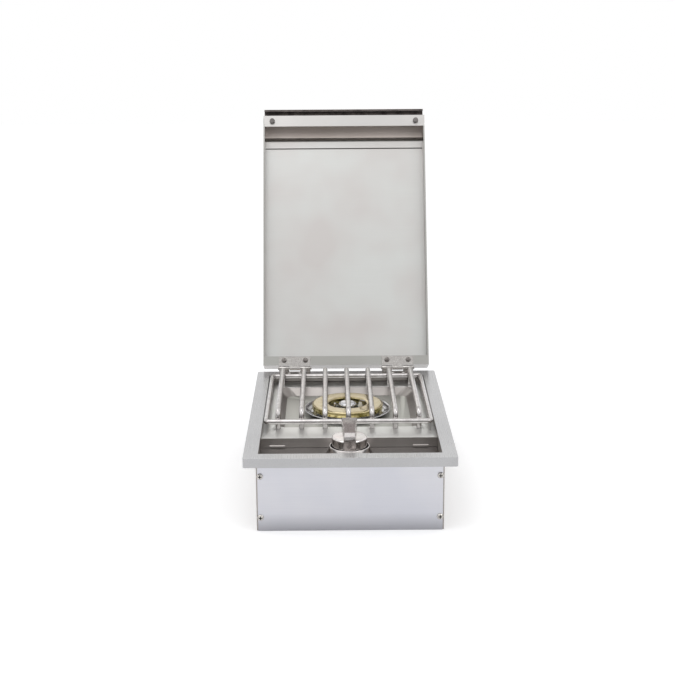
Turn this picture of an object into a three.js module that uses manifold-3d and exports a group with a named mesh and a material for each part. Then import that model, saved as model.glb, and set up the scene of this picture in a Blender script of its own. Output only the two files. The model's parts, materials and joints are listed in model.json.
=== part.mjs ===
// A built in side burner: a single gas burner in a sheet steel box that drops into a counter,
// with a hinged lid, a lift-off rod grate and a push-and-turn control knob.
// Millimetres. X to the right, Y to the back, Z up. The origin is the middle of the underside
// of the box. The lid is shown open, leaning back on its hinges.
import * as THREE from 'three';
import { mergeVertices } from 'three/addons/utils/BufferGeometryUtils.js';
import Module from 'manifold-3d';

const wasm = await Module();
wasm.setup();

// Clearances and counts shared by all pieces
const seat = 0.3; // gap between two pieces that touch
const overrun = 2; // how far a cutter reaches past the face it cuts
const weld = 0.6; // how deep welded rods and tabs run into each other
const roundSides = 40;
const smallSides = 12;
const rodSides = 8;
const cornerSteps = 4;
const sides = [-1, 1];
const domeShares = [[1, 0], [0.88, 0.45], [0.5, 0.85], [0, 1]]; // of a dome's radius and height

// Trim frame: the tray-like rim that rests on the counter
const frameSheet = 1.5;
const frameLip = 14; // height of the turned down edge
const frameHem = 9.5; // width of the hem that lies on the counter
const frameCorner = 3;
const frameInnerCorner = 1;
const frameOverhang = 17.5; // how far the rim stands out past the box
const sideLedge = 21; // top face from the outer edge to the opening
const frontLedge = 21;
const rearLedge = 26;

// Housing: the box that hangs through the counter
const housingHeight = 116; // floor of the box to the top of the trim frame
const housingSheet = 1.5;
const sideReturn = 16; // the side panels' edges, bent in behind the front and rear panels
const topFlange = 10; // the edge that is welded under the trim frame
const panelInset = 2; // how far the front and rear panels stop short of the corners
const bottomLip = 14;
const ventLength = 46;
const ventWidth = 5;
const ventPitch = 16;
const ventRows = 5;
const ventInset = 65; // box's side to the middle of the nearest slots
const ventEndInset = 113.5; // box's front or back to the middle of the nearest group

// Panel screws
const screwShank = 2.3;
const screwHead = 4.9;
const screwHeadHeight = 2.6;
const screwCrown = 3.6; // radius of the flat top of a screw's head
const screwSlot = 1.1;
const screwSlotLength = 5;
const screwSlotDepth = 1;
const screwLength = 7;
const screwHole = 2.7;
const screwInset = 5.8; // from the box's side to the screw
const screwDrop = 32.9; // from the top of the trim frame to the upper screws
const screwRise = 20.6; // underside of the box to the lower screws

// Burner pan: the deck under the grate, with the basin pressed into it
const panSheet = 1.2;
const deckDrop = 13; // top of the trim frame to the deck
const basinFrontMargin = 14.5; // grate's front cross rod to the basin
const basinRearMargin = 23;
const basinSideMargin = 17.5; // trim frame's opening to the basin
const basinDepth = 11;
const basinSlope = 14; // how far each basin wall leans in
const basinCorner = 16;

// Control tray: the sunk trough that carries the knob
const traySheet = 1.2;
const trayDrop = 28; // top of the trim frame to the tray's floor
const trayLap = 9; // how far the floor runs back under the deck
const louvreLength = 23;
const louvreHeight = 3;
const louvreRise = 1.4;
const louvreInset = 27; // box's side to the middle of each louvre
const louvreLift = 1.6; // tray floor to the louvre

// Knob, bezel and gas valve
const knobSetback = 59; // front of the trim frame's opening to the knob's axis
const knobRadius = 26.5;
const knobTopRadius = 24.5;
const knobLift = 4; // tray floor to the knob's skirt
const knobSkirt = 30.5; // height of the skirt
const knobDome = 2;
const knobWall = 3;
const knobRoof = 8; // thickness of the knob under its grip
const knobBoss = 8;
const gripHeight = 20.5; // top of the skirt to the top of the grip
const gripBack = 24.5; // knob's axis to the grip's ends
const gripFront = 26.5;
const gripRearWidth = 23;
const gripFrontWidth = 18.5;
const gripCorner = 2.5;
const gripCrest = 6; // knob's axis to where the grip's top bends down
const gripBrow = 16; // and to where its front face starts
const gripBrowDrop = 3;
const gripNoseHeight = 14; // top of the skirt to where the front face turns upright
const bezelRadius = 41;
const bezelNeckRadius = 29.5;
const bezelHeight = 20;
const bezelSheet = 1.2;
const bezelFoot = 4; // flat rim round the bezel
const bezelToDeck = 8.6;
const bezelWaistShare = 0.28; // of the neck's slope, where the bezel turns upright
const bezelWaistHeight = 13;
const stemRadius = 4;
const stemClearance = 0.5;
const stemGrip = 10; // how far the stem reaches into the knob
const collarRadius = 9;
const collarHeight = 2.5;
const pushTravel = 3;
const valveWidth = 28;
const valveDepth = 36;
const valveHeight = 32;
const valveBore = 14;
const outletRadius = 9;
const outletLength = 9;
const orificeRadius = 5.5;
const orificeLength = 9;
const orificeNeck = 4.1;
const orificeTip = 2.5;
const orificeInMouth = 3.6; // how far the orifice points into the mixing tube

// Gas inlet
const pipeRadius = 6.3;
const pipeBore = 4.6;
const pipeBend = 16;
const pipeOffset = 62; // middle of the burner to the long run of the pipe
const pipeDrop = 20; // valve top to the pipe's axis
const pipeHole = 9.1; // radius of the rear panel's hole for the inlet
const fittingHex = 12;
const fittingHexLength = 11;
const fittingThread = 8.5;
const fittingLength = 12;

// Burner
const burnerRadius = 57.5;
const burnerHole = 30;
const burnerHeight = 10;
const burnerCrown = 1.6; // how much the ring's top stands over its edge
const burnerRise = 5; // deck to the top of the ring
const portCount = 36;
const portDepth = 3;
const portWidth = 2.4;
const portHeight = 4.2;
const baseFlange = 50;
const baseNeck = 26;
const baseBore = 20;
const baseHeight = 44;
const baseFloor = 4;
const mixerDrop = 35; // deck to the axis of the mixing tube
const mixerRadius = 9.5;
const mixerBore = 8;
const mixerMouth = 14;
const mixerMouthBore = 12.4;
const mixerMouthLength = 14;
const mixerReach = 6; // how far the tube reaches into the burner base
const shutterWall = 1.4;
const shutterLength = 12;
const shutterWindow = 7;
const fixingOffset = 42; // burner axis to the two screws that hold it down
const fixingShank = 1.9;
const fixingHole = 2.3;
const fixingHead = 4;
const fixingHeadHeight = 2.4;
const fixingGrip = 2.4; // how far they reach into the burner base
const hubRadius = 15;
const hubStem = 5;
const hubDome = 6;
const hubSheet = 3;
const bowlInner = 34;
const bowlRadius = 70;
const bowlFloor = 60; // radius where the bowl starts to rise
const bowlRise = 6;
const bowlSheet = 1.2;
const electrodeOffset = 25; // burner axis to the igniter
const electrodeAngle = -35; // degrees round the burner from its right side
const insulatorRadius = 3.4;
const insulatorHeight = 19;
const insulatorSkirt = 5;
const insulatorTip = 2.4;
const tipRadius = 1.1;
const tipBend = 1.6;
const tipRise = 3.5;
const tipReach = 9;
const probeRadius = 2;
const probeHeight = 14;
const probeNut = 3.6;
const probeNutHeight = 5;

// Cooking grate
const grateRod = 4; // radius of every rod
const grateRods = 7;
const gratePitch = 36;
const grateEndSpace = 18; // outermost long rod to the side rod
const grateSideGap = 5.5; // side rod's axis to the trim frame's opening
const grateSetback = 40.9; // front edge of the deck to the front cross rod's axis
const grateRearGap = 5; // rear cross rod's axis to the trim frame's opening
const grateLength = 256.5;
const grateRise = 15; // top of the trim frame to the long rods' axes
const grateBend = 9;
const grateCorner = 6;

// Lid, given as it lies closed
const lidInset = 9.75; // side of the trim frame to the side of the lid
const lidOverhang = 1.2; // front of the trim frame to the front wall
const lidDepth = 46;
const lidSheet = 1.2;
const lidSideHem = 2.4;
const lidFrontHem = 19.8;
const lidRearHem = 15.8;
const lidGap = 6.5; // trim frame to the closed lid's rim
const lidOpenAngle = 113.25;
const linerDrop = 15; // top of the lid to the liner
const linerStep = 0.8;
const linerStepAt = 14; // width of the stepped strip at the liner's front end
const linerSlot = 2.2; // open slot between the strip and the rest of the liner
const linerSheet = 1;
const linerSetback = 39; // front wall to the liner's front end
const linerLip = 12;
const stiffenerGap = 0.9; // front wall to the stiffener
const stiffenerWidth = 30;
const pullReach = 23.6; // how far the pull stands out of the front wall
const pullDepth = 10;
const pullSheet = 1.5;
const pullHook = 4;
const pullLeg = 16;
const bumperRadius = 4.9;
const bumperFootRadius = 4;
const bumperInset = 15.8; // lid's side to the bumper
const bumperSetback = 10.3; // lid's front to the bumper
const bumperPeg = 2.2;
const bumperPegHead = 3.4;
const bumperPegHeadHeight = 2;

// Hinges
const hingeFromSide = 63.9; // side of the trim frame to the middle of a hinge
const hingeWidth = 54;
const hingeSheet = 1.4;
const hingeRise = 7.5; // trim frame to the hinge axis
const hingeInset = 7.1; // rear edge of the trim frame to the hinge axis
const hingeGap = 5.12; // hinge axis to the closed lid's rear wall
const knuckleRadius = 3.8;
const knuckleBore = 2;
const knuckleGap = 0.5;
const pinRadius = 1.6;
const pinHead = 2.9;
const pinHeadLength = 1.5;
const fixedLeaf = 19;
const movingLeaf = 20;
const boltOffset = 18.3; // middle of a hinge to its bolts
const boltSetback = 8.4; // lid's rear wall to the bolts
const boltShank = 2;
const boltHead = 4.5;
const boltHeadHeight = 2.2;
const boltNut = 4.2;
const boltNutHeight = 3.2;
const boltHole = 2.5;
const rivetOffset = 9;
const rivetSetback = 11.5; // hinge axis to the rivets
const rivetHead = 3.2;
const rivetHeadHeight = 1.5;
const rivetShank = 1.6;
const rivetHole = 2;
const rivetNotch = 4.2; // half the width of the rear panel's notch round a rivet's tail

// Places that several pieces share
const grateHalfWidth = gratePitch * (grateRods - 1) / 2 + grateEndSpace; // to the side rods' axes
const frameWidth = (grateHalfWidth + grateSideGap + sideLedge) * 2;
const trayLength = knobSetback + bezelRadius + bezelToDeck; // opening to the front edge of the deck
const grateSpan = grateSetback + grateLength + grateRearGap;
const frameDepth = frontLedge + trayLength + grateSpan + rearLedge;
const frameTop = housingHeight;
const frameUnder = frameTop - frameSheet;
const frontEdge = -frameDepth / 2;
const rearEdge = frameDepth / 2;
const openLeft = frameWidth / 2 - sideLedge;
const openFront = frontEdge + frontLedge;
const openRear = rearEdge - rearLedge;
const boxSide = frameWidth / 2 - frameOverhang;
const boxFront = frontEdge + frameOverhang;
const boxRear = rearEdge - frameOverhang;
const insideSide = boxSide - housingSheet; // inner face of a side panel
const insideFront = boxFront + housingSheet * 2 + seat; // behind the bent edges
const insideRear = boxRear - housingSheet * 2 - seat;
const trayFloor = frameTop - trayDrop;
const deckTop = frameTop - deckDrop;
const deckEdge = openFront + trayLength;
const grateY0 = deckEdge + grateSetback;
const grateY1 = grateY0 + grateLength;
const basinStart = grateY0 + basinFrontMargin;
const basinEnd = grateY1 - basinRearMargin;
const basinFloor = deckTop - basinDepth;
const knobY = openFront + knobSetback;
const valveTop = trayFloor - traySheet - seat;
const burnerY = (grateY0 + grateY1) / 2;
const ringTop = deckTop + burnerRise;
const ringBottom = ringTop - burnerHeight;
const mixerZ = deckTop - mixerDrop;
const hingeY = rearEdge - hingeInset;
const hingeZ = frameTop + hingeRise;
const hingeOffset = frameWidth / 2 - hingeFromSide;

// Solids

function toSolid(geometry) {
  const bare = geometry.index ? geometry.toNonIndexed() : geometry.clone();
  bare.deleteAttribute('normal');
  bare.deleteAttribute('uv');
  const merged = mergeVertices(bare);
  const corners = merged.index.array;
  const kept = [];
  for (let i = 0; i < corners.length; i += 3) {
    const [a, b, c] = [corners[i], corners[i + 1], corners[i + 2]];
    if (a !== b && b !== c && c !== a) kept.push(a, b, c);
  }
  return new wasm.Manifold(new wasm.Mesh({
    numProp: 3,
    vertProperties: Float32Array.from(merged.attributes.position.array),
    triVerts: Uint32Array.from(kept),
  }));
}

function toGeometry(solid) {
  const mesh = solid.getMesh();
  const geometry = new THREE.BufferGeometry();
  geometry.setAttribute('position', new THREE.BufferAttribute(Float32Array.from(mesh.vertProperties), 3));
  geometry.setIndex(Array.from(mesh.triVerts));
  return geometry;
}

const join = (...solids) => solids.reduce((whole, part) => whole.add(part));
const cut = (whole, ...tools) => tools.reduce((rest, tool) => rest.subtract(tool), whole);

// A block between two values on each axis.
function block([x0, x1], [y0, y1], [z0, z1]) {
  const box = new THREE.BoxGeometry(x1 - x0, y1 - y0, z1 - z0);
  box.translate((x0 + x1) / 2, (y0 + y1) / 2, (z0 + z1) / 2);
  return toSolid(box);
}

// A block that is as far left as right.
const wide = (half, y, z) => block([-half, half], y, z);

// A round bar from one point to another.
function bar(radius, from, to, count = smallSides, endRadius = radius) {
  const a = new THREE.Vector3(...from);
  const b = new THREE.Vector3(...to);
  const along = b.clone().sub(a);
  const cylinder = new THREE.CylinderGeometry(endRadius, radius, along.length(), count);
  const up = new THREE.Vector3(0, 1, 0);
  cylinder.applyQuaternion(new THREE.Quaternion().setFromUnitVectors(up, along.normalize()));
  cylinder.translate((a.x + b.x) / 2, (a.y + b.y) / 2, (a.z + b.z) / 2);
  return toSolid(cylinder);
}

// A turned shape about an upright axis at x, y, from [radius, height] points.
function turned(profile, x = 0, y = 0, count = roundSides) {
  const lathe = new THREE.LatheGeometry(profile.map(([r, z]) => new THREE.Vector2(r, z)), count);
  lathe.rotateX(Math.PI / 2);
  lathe.translate(x, y, 0);
  const solid = toSolid(lathe);
  if (solid.volume() > 0) return solid;
  const index = lathe.index.array;
  for (let i = 0; i < index.length; i += 3) [index[i], index[i + 1]] = [index[i + 1], index[i]];
  return toSolid(lathe);
}

// A low dome on a flat base at a height; a negative rise makes it hang.
function dome(radius, base, rise, x, y) {
  const curve = domeShares.map(([across, up]) => [radius * across, base + rise * up]);
  return turned([[0, base], ...curve], x, y, smallSides);
}

// The points of a rectangle with round corners, anticlockwise.
function roundedRectangle([x0, x1], [y0, y1], radius, steps = cornerSteps) {
  const corners = [[x1 - radius, y0 + radius], [x1 - radius, y1 - radius],
    [x0 + radius, y1 - radius], [x0 + radius, y0 + radius]];
  return corners.flatMap(([cx, cy], quarter) => {
    const points = [];
    for (let step = 0; step <= steps; step += 1) {
      const angle = (quarter - 1 + step / steps) * Math.PI / 2;
      points.push(new THREE.Vector2(cx + radius * Math.cos(angle), cy + radius * Math.sin(angle)));
    }
    return points;
  });
}

// A plate with an outline of points and any number of outlined holes.
function plate(outline, holes, [z0, z1]) {
  const shape = new THREE.Shape(outline);
  shape.holes = holes.map((points) => new THREE.Path(points));
  const geometry = new THREE.ExtrudeGeometry(shape, { depth: z1 - z0, bevelEnabled: false });
  geometry.translate(0, 0, z0);
  return toSolid(geometry);
}

// A tapered block between two outlines of as many points, at two heights.
function tapered(lower, z0, upper, z1) {
  const count = lower.length;
  const points = [...lower.map((p) => [p.x, p.y, z0]), ...upper.map((p) => [p.x, p.y, z1])];
  const faces = [];
  for (let i = 0; i < count; i += 1) {
    const next = (i + 1) % count;
    faces.push(i, next, count + next, i, count + next, count + i);
    if (i > 0 && next > 0) faces.push(0, next, i, count, count + i, count + next);
  }
  const geometry = new THREE.BufferGeometry();
  geometry.setAttribute('position', new THREE.BufferAttribute(Float32Array.from(points.flat()), 3));
  geometry.setIndex(faces);
  return toSolid(geometry);
}

// A profile of [y, z] points carried along X.
function profileAlongX(points, x0, x1) {
  const shape = new THREE.Shape(points.map(([y, z]) => new THREE.Vector2(y, z)));
  const geometry = new THREE.ExtrudeGeometry(shape, { depth: x1 - x0, bevelEnabled: false });
  geometry.applyMatrix4(new THREE.Matrix4().set(0, 0, 1, x0, 1, 0, 0, 0, 0, 1, 0, 0, 0, 0, 0, 1));
  return toSolid(geometry);
}

// A path that is straight between its corner points and turns them in round arcs.
class BentPath extends THREE.Curve {
  constructor(corners, bend, steps = cornerSteps) {
    super();
    this.stations = [corners[0]];
    for (let i = 1; i < corners.length - 1; i += 1) {
      const into = corners[i].clone().sub(corners[i - 1]).normalize();
      const out = corners[i + 1].clone().sub(corners[i]).normalize();
      const turn = Math.acos(into.dot(out));
      const reach = bend * Math.tan(turn / 2);
      const centre = corners[i].clone().addScaledVector(into, -reach)
        .addScaledVector(out.clone().sub(into.clone().multiplyScalar(into.dot(out))).normalize(), bend);
      const spoke = corners[i].clone().addScaledVector(into, -reach).sub(centre);
      const axis = into.clone().cross(out).normalize();
      for (let step = 0; step <= steps; step += 1) {
        this.stations.push(spoke.clone().applyAxisAngle(axis, turn * step / steps).add(centre));
      }
    }
    this.stations.push(corners[corners.length - 1]);
  }

  get steps() {
    return this.stations.length - 1;
  }

  getPoint(t, target = new THREE.Vector3()) {
    const place = Math.min(t, 1) * this.steps;
    const index = Math.min(Math.floor(place), this.steps - 1);
    return target.lerpVectors(this.stations[index], this.stations[index + 1], place - index);
  }

  getPointAt(u, target) {
    return this.getPoint(u, target);
  }

  getTangentAt(u, target) {
    return this.getTangent(u, target);
  }
}

// A bent round rod or, with a bore, a bent tube.
function bentRod(corners, bend, radius, bore = 0) {
  const path = new BentPath(corners.map((point) => new THREE.Vector3(...point)), bend);
  const circle = (r) => {
    const points = [];
    for (let i = 0; i < rodSides; i += 1) {
      const angle = (i / rodSides) * Math.PI * 2;
      points.push(new THREE.Vector2(r * Math.cos(angle), r * Math.sin(angle)));
    }
    return points;
  };
  const section = new THREE.Shape(circle(radius));
  if (bore > 0) section.holes.push(new THREE.Path(circle(bore)));
  const geometry = new THREE.ExtrudeGeometry(section, { steps: path.steps, extrudePath: path });
  const solid = toSolid(geometry);
  if (solid.volume() > 0) return solid;
  throw new Error('a bent rod is inside out');
}

// A round rod bent into a closed loop, which starts and ends at one point of a straight side.
function rodLoop(corners, bend, radius) {
  const path = new BentPath(corners.map((point) => new THREE.Vector3(...point)), bend);
  return toSolid(new THREE.TubeGeometry(path, path.steps, radius, rodSides, true));
}

// Scene

const burner = new THREE.Group();
const lid = new THREE.Group(); // its own frame has the hinge axis as X, and the closed lid in front
lid.position.set(0, hingeY, hingeZ);
lid.rotation.x = -THREE.MathUtils.degToRad(lidOpenAngle);
burner.add(lid);

const finishes = {
  brushed: { color: '#c4c4c6', roughness: 0.38, metalness: 0.9 },
  polished: { color: '#d8d8da', roughness: 0.15, metalness: 1 },
  plain: { color: '#aeb0b3', roughness: 0.5, metalness: 0.85 },
  cast: { color: '#a9aaab', roughness: 0.6, metalness: 0.7 },
  brass: { color: '#c2ab76', roughness: 0.4, metalness: 0.9 },
  ceramic: { color: '#eeebe4', roughness: 0.4, metalness: 0 },
  rubber: { color: '#4a4a4c', roughness: 0.8, metalness: 0 },
};

function add(name, solid, finish, parent = burner) {
  const mesh = new THREE.Mesh(toGeometry(solid), new THREE.MeshStandardMaterial(finishes[finish]));
  mesh.name = name;
  parent.add(mesh);
}

// Trim frame

const outer = (inset) => roundedRectangle(
  [-frameWidth / 2 + inset, frameWidth / 2 - inset],
  [frontEdge + inset, rearEdge - inset],
  Math.max(frameCorner - inset, frameInnerCorner),
);
const opening = roundedRectangle([-openLeft, openLeft], [openFront, openRear], frameInnerCorner, 1);
let frame = join(
  plate(outer(0), [opening], [frameUnder, frameTop]),
  plate(outer(0), [outer(frameSheet)], [frameTop - frameLip, frameTop - frameSheet / 2]),
  plate(outer(0), [outer(frameHem)], [frameTop - frameLip, frameTop - frameLip + frameSheet]),
);
const rivets = sides.flatMap((side) => sides.map((end) => [
  side * hingeOffset + end * rivetOffset, hingeY - rivetSetback,
]));
for (const [x, y] of rivets) {
  frame = cut(frame, bar(rivetHole, [x, y, frameUnder - overrun], [x, y, frameTop + overrun]));
}
add('trim_frame', frame, 'brushed');

// Housing panels

const flangeTop = frameUnder - seat;
const screwHeights = [frameTop - screwDrop, screwRise];
const screwX = boxSide - screwInset;
for (const side of sides) {
  const wall = [boxSide - housingSheet, boxSide];
  const bent = [boxSide - sideReturn, boxSide];
  const flange = [boxSide - housingSheet, boxSide + topFlange];
  const frontFace = boxFront + housingSheet + seat;
  const rearFace = boxRear - housingSheet - seat;
  let panel = join(
    block(wall, [frontFace, rearFace], [0, flangeTop]),
    block(bent, [frontFace, frontFace + housingSheet], [0, flangeTop]),
    block(bent, [rearFace - housingSheet, rearFace], [0, flangeTop]),
    block(flange, [frontFace, rearFace], [flangeTop - housingSheet, flangeTop]),
  );
  for (const z of screwHeights) {
    panel = cut(
      panel,
      bar(screwHole, [screwX, frontFace - overrun, z], [screwX, frontFace + housingSheet + overrun, z]),
      bar(screwHole, [screwX, rearFace + overrun, z], [screwX, rearFace - housingSheet - overrun, z]),
    );
  }
  if (side < 0) panel = panel.mirror([1, 0, 0]);
  add(side < 0 ? 'left_side_panel' : 'right_side_panel', panel, 'plain');
}

const fittingZ = valveTop - pipeDrop;
for (const end of sides) {
  const face = end < 0 ? boxFront : boxRear;
  const inner = face - end * housingSheet;
  const reach = face + end * topFlange;
  const order = (a, b) => (a < b ? [a, b] : [b, a]);
  const half = boxSide - panelInset;
  let panel = join(
    wide(half, order(face, inner), [0, flangeTop]),
    wide(half, order(reach, inner), [flangeTop - housingSheet, flangeTop]),
  );
  for (const x of [-screwX, screwX]) {
    for (const z of screwHeights) {
      panel = cut(panel, bar(screwHole, [x, inner - end * overrun, z], [x, face + end * overrun, z]));
      const head = [x, face + end * (seat + screwHeadHeight), z];
      const under = [x, face + end * seat, z];
      const tip = [x, face + end * seat - end * screwLength, z];
      const slotY = order(head[1] + end * overrun, head[1] - end * screwSlotDepth);
      const arm = screwSlotLength / 2;
      const slot = screwSlot / 2;
      const screw = cut(
        join(bar(screwHead, under, head, smallSides, screwCrown), bar(screwShank, tip, head)),
        block([x - arm, x + arm], slotY, [z - slot, z + slot]),
        block([x - slot, x + slot], slotY, [z - arm, z + arm]),
      );
      const number = (x > 0 ? 1 : 0) + (z === screwHeights[0] ? 1 : 3);
      add(`${end < 0 ? 'front' : 'rear'}_screw_${number}`, screw, 'polished');
    }
  }
  if (end > 0) {
    panel = cut(
      panel,
      bar(pipeHole, [pipeOffset, inner - overrun, fittingZ], [pipeOffset, face + overrun, fittingZ]),
      ...rivets.map(([x, y]) => block(
        [x - rivetNotch, x + rivetNotch],
        [y - rivetNotch - overrun, y + rivetNotch],
        [flangeTop - rivetHeadHeight * 2, flangeTop + overrun],
      )),
    );
  }
  add(end < 0 ? 'front_panel' : 'rear_panel', panel, 'brushed');
}

const floorSide = insideSide - seat;
let bottom = join(
  wide(floorSide, [insideFront + seat, insideRear - seat], [0, housingSheet]),
  ...sides.map((side) => block(
    side < 0 ? [-floorSide, -floorSide + housingSheet] : [floorSide - housingSheet, floorSide],
    [insideFront + seat, insideRear - seat],
    [0, bottomLip],
  )),
);
for (const group of sides) {
  for (const side of sides) {
    for (let row = 0; row < ventRows; row += 1) {
      const y = group * (boxRear - ventEndInset) + (row - (ventRows - 1) / 2) * ventPitch;
      const x = side * (boxSide - ventInset);
      bottom = cut(bottom, block(
        [x - ventLength / 2, x + ventLength / 2],
        [y - ventWidth / 2, y + ventWidth / 2],
        [-overrun, housingSheet + overrun],
      ));
    }
  }
}
add('bottom_panel', bottom, 'plain');

// Control tray and the knob on it

const trayFront = insideFront + seat;
const trayRear = deckEdge + trayLap;
let tray = join(
  wide(floorSide, [trayFront, trayRear], [trayFloor - traySheet, trayFloor]),
  wide(floorSide, [trayFront, trayFront + traySheet], [trayFloor - traySheet, frameUnder - seat]),
);
tray = cut(tray, bar(
  stemRadius + stemClearance * 2,
  [0, knobY, trayFloor - traySheet - overrun],
  [0, knobY, trayFloor + overrun],
));
add('control_tray', tray, 'brushed');

const bezelZ = trayFloor + seat;
const bezelWaist = bezelNeckRadius + (bezelRadius - bezelFoot - bezelNeckRadius) * bezelWaistShare;
add('knob_bezel', turned([
  [bezelRadius, bezelZ],
  [bezelRadius, bezelZ + bezelSheet],
  [bezelRadius - bezelFoot, bezelZ + bezelSheet * 2],
  [bezelWaist, bezelZ + bezelWaistHeight],
  [bezelNeckRadius, bezelZ + bezelHeight],
  [bezelNeckRadius - bezelSheet, bezelZ + bezelHeight],
  [bezelWaist - bezelSheet, bezelZ + bezelWaistHeight],
  [bezelRadius - bezelFoot - bezelSheet, bezelZ],
  [bezelRadius, bezelZ],
], 0, knobY), 'polished');

const knobBottom = trayFloor + knobLift;
const knobTop = knobBottom + knobSkirt;
let knob = turned([
  [0, knobBottom],
  [knobRadius, knobBottom],
  [knobTopRadius + knobWall / 2, knobTop - knobDome],
  [knobTopRadius, knobTop],
  [0, knobTop + knobDome],
], 0, knobY);
const gripTop = knobTop + gripHeight;
const gripSide = profileAlongX([
  [knobY + gripBack, knobBottom],
  [knobY + gripBack, gripTop],
  [knobY - gripCrest, gripTop],
  [knobY - gripBrow, gripTop - gripBrowDrop],
  [knobY - gripFront, knobTop + gripNoseHeight],
  [knobY - gripFront, knobBottom],
], -gripRearWidth, gripRearWidth);
const gripRight = [
  [gripFrontWidth / 2 - gripCorner, -gripFront],
  [gripFrontWidth / 2, gripCorner - gripFront],
  [gripRearWidth / 2, gripBack - gripCorner],
  [gripRearWidth / 2 - gripCorner, gripBack],
];
const gripLeft = gripRight.map(([x, y]) => [-x, y]).reverse();
const gripPlan = [...gripRight, ...gripLeft].map(([x, y]) => new THREE.Vector2(x, knobY + y));
const stemTop = knobTop - knobRoof;
const bossBottom = stemTop - stemGrip;
knob = join(knob, plate(gripPlan, [], [knobBottom, gripTop]).intersect(gripSide));
knob = cut(knob, bar(
  knobRadius - knobWall,
  [0, knobY, knobBottom - overrun],
  [0, knobY, stemTop],
  roundSides,
));
knob = join(knob, bar(knobBoss, [0, knobY, bossBottom], [0, knobY, stemTop + weld]));
knob = cut(knob, bar(
  stemRadius + stemClearance,
  [0, knobY, bossBottom - overrun],
  [0, knobY, stemTop + seat],
));
add('control_knob', knob, 'polished');

const stemBottom = valveTop - valveBore / 2;
add('valve_stem', bar(stemRadius, [0, knobY, stemBottom], [0, knobY, stemTop]), 'brass');

const collarBottom = trayFloor + pushTravel + seat * 2;
add('stem_collar', turned([
  [stemRadius + stemClearance, collarBottom],
  [collarRadius, collarBottom],
  [collarRadius, collarBottom + collarHeight],
  [stemRadius + stemClearance, collarBottom + collarHeight],
  [stemRadius + stemClearance, collarBottom],
], 0, knobY, smallSides), 'plain');

const valveBack = knobY + valveDepth / 2;
const boreRadius = stemRadius + stemClearance;
const valve = cut(
  join(
    wide(valveWidth / 2, [knobY - valveDepth / 2, valveBack], [valveTop - valveHeight, valveTop]),
    bar(outletRadius, [0, valveBack - weld, mixerZ], [0, valveBack + outletLength, mixerZ]),
  ),
  bar(boreRadius, [0, knobY, valveTop - valveBore], [0, knobY, valveTop + overrun]),
);
add('gas_valve', valve, 'brass');

const orificeY = valveBack + outletLength + seat;
add('gas_orifice', join(
  bar(orificeRadius, [0, orificeY, mixerZ], [0, orificeY + orificeLength / 2, mixerZ], 6),
  bar(
    orificeNeck,
    [0, orificeY + orificeLength / 2 - weld, mixerZ],
    [0, orificeY + orificeLength, mixerZ],
    smallSides,
    orificeTip,
  ),
), 'brass');

// Gas inlet

const pipeStart = valveWidth / 2 + seat;
const pipeEnd = boxRear + seat;
add('gas_inlet_pipe', bentRod([
  [pipeStart, knobY, fittingZ],
  [pipeOffset, knobY, fittingZ],
  [pipeOffset, pipeEnd, fittingZ],
], pipeBend, pipeRadius, pipeBore), 'plain');
const hexStart = pipeEnd + seat;
const hexEnd = hexStart + fittingHexLength;
const threadEnd = hexEnd + fittingLength;
add('gas_inlet_fitting', cut(
  join(
    bar(fittingHex, [pipeOffset, hexStart, fittingZ], [pipeOffset, hexEnd, fittingZ], 6),
    bar(fittingThread, [pipeOffset, hexEnd - weld, fittingZ], [pipeOffset, threadEnd, fittingZ]),
  ),
  bar(
    pipeBore,
    [pipeOffset, hexStart - overrun, fittingZ],
    [pipeOffset, threadEnd + overrun, fittingZ],
  ),
), 'brass');

// Burner pan, with the holes for the screws that hold the burner down

const baseTop = ringBottom - seat;
const bowlZ = basinFloor + seat;
const baseUnder = bowlZ + bowlSheet + seat; // its flange stands on the bowl
const baseBottom = baseTop - baseHeight;
const fixings = sides.map((side) => side * fixingOffset);
const fixingTip = baseUnder + fixingGrip;
const fixingHoles = (z0, z1) => fixings.map((x) => bar(fixingHole, [x, burnerY, z0], [x, burnerY, z1]));
const basinX = openLeft - basinSideMargin;
const mouthOutline = (inset) => roundedRectangle(
  [-basinX + inset, basinX - inset], [basinStart + inset, basinEnd - inset], basinCorner,
);
const panLip = deckTop - trayFloor - seat;
let pan = join(
  wide(floorSide, [deckEdge, insideRear - seat], [deckTop - panSheet, deckTop]),
  wide(floorSide, [deckEdge, deckEdge + panSheet], [deckTop - panLip, deckTop]),
  tapered(
    mouthOutline(basinSlope - panSheet),
    basinFloor - panSheet,
    mouthOutline(-panSheet),
    deckTop - panSheet / 2,
  ),
);
const flare = basinSlope * overrun / basinDepth; // carries the basin's slope on above the deck
pan = cut(
  pan,
  tapered(mouthOutline(basinSlope), basinFloor, mouthOutline(-flare), deckTop + overrun),
  bar(
    baseNeck + seat * 3,
    [0, burnerY, basinFloor - panSheet - overrun],
    [0, burnerY, basinFloor + overrun],
    roundSides,
  ),
  ...fixingHoles(basinFloor - panSheet - overrun, basinFloor + overrun),
);
for (const side of sides) {
  const x = side * (boxSide - louvreInset);
  const z = trayFloor + louvreLift;
  pan = join(pan, profileAlongX([
    [deckEdge + weld, z],
    [deckEdge + weld, z + louvreHeight],
    [deckEdge - louvreRise, z + louvreHeight / 2],
    [deckEdge - louvreRise, z],
  ].reverse(), x - louvreLength / 2, x + louvreLength / 2));
}
add('burner_pan', pan, 'brushed');

// Burner

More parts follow.
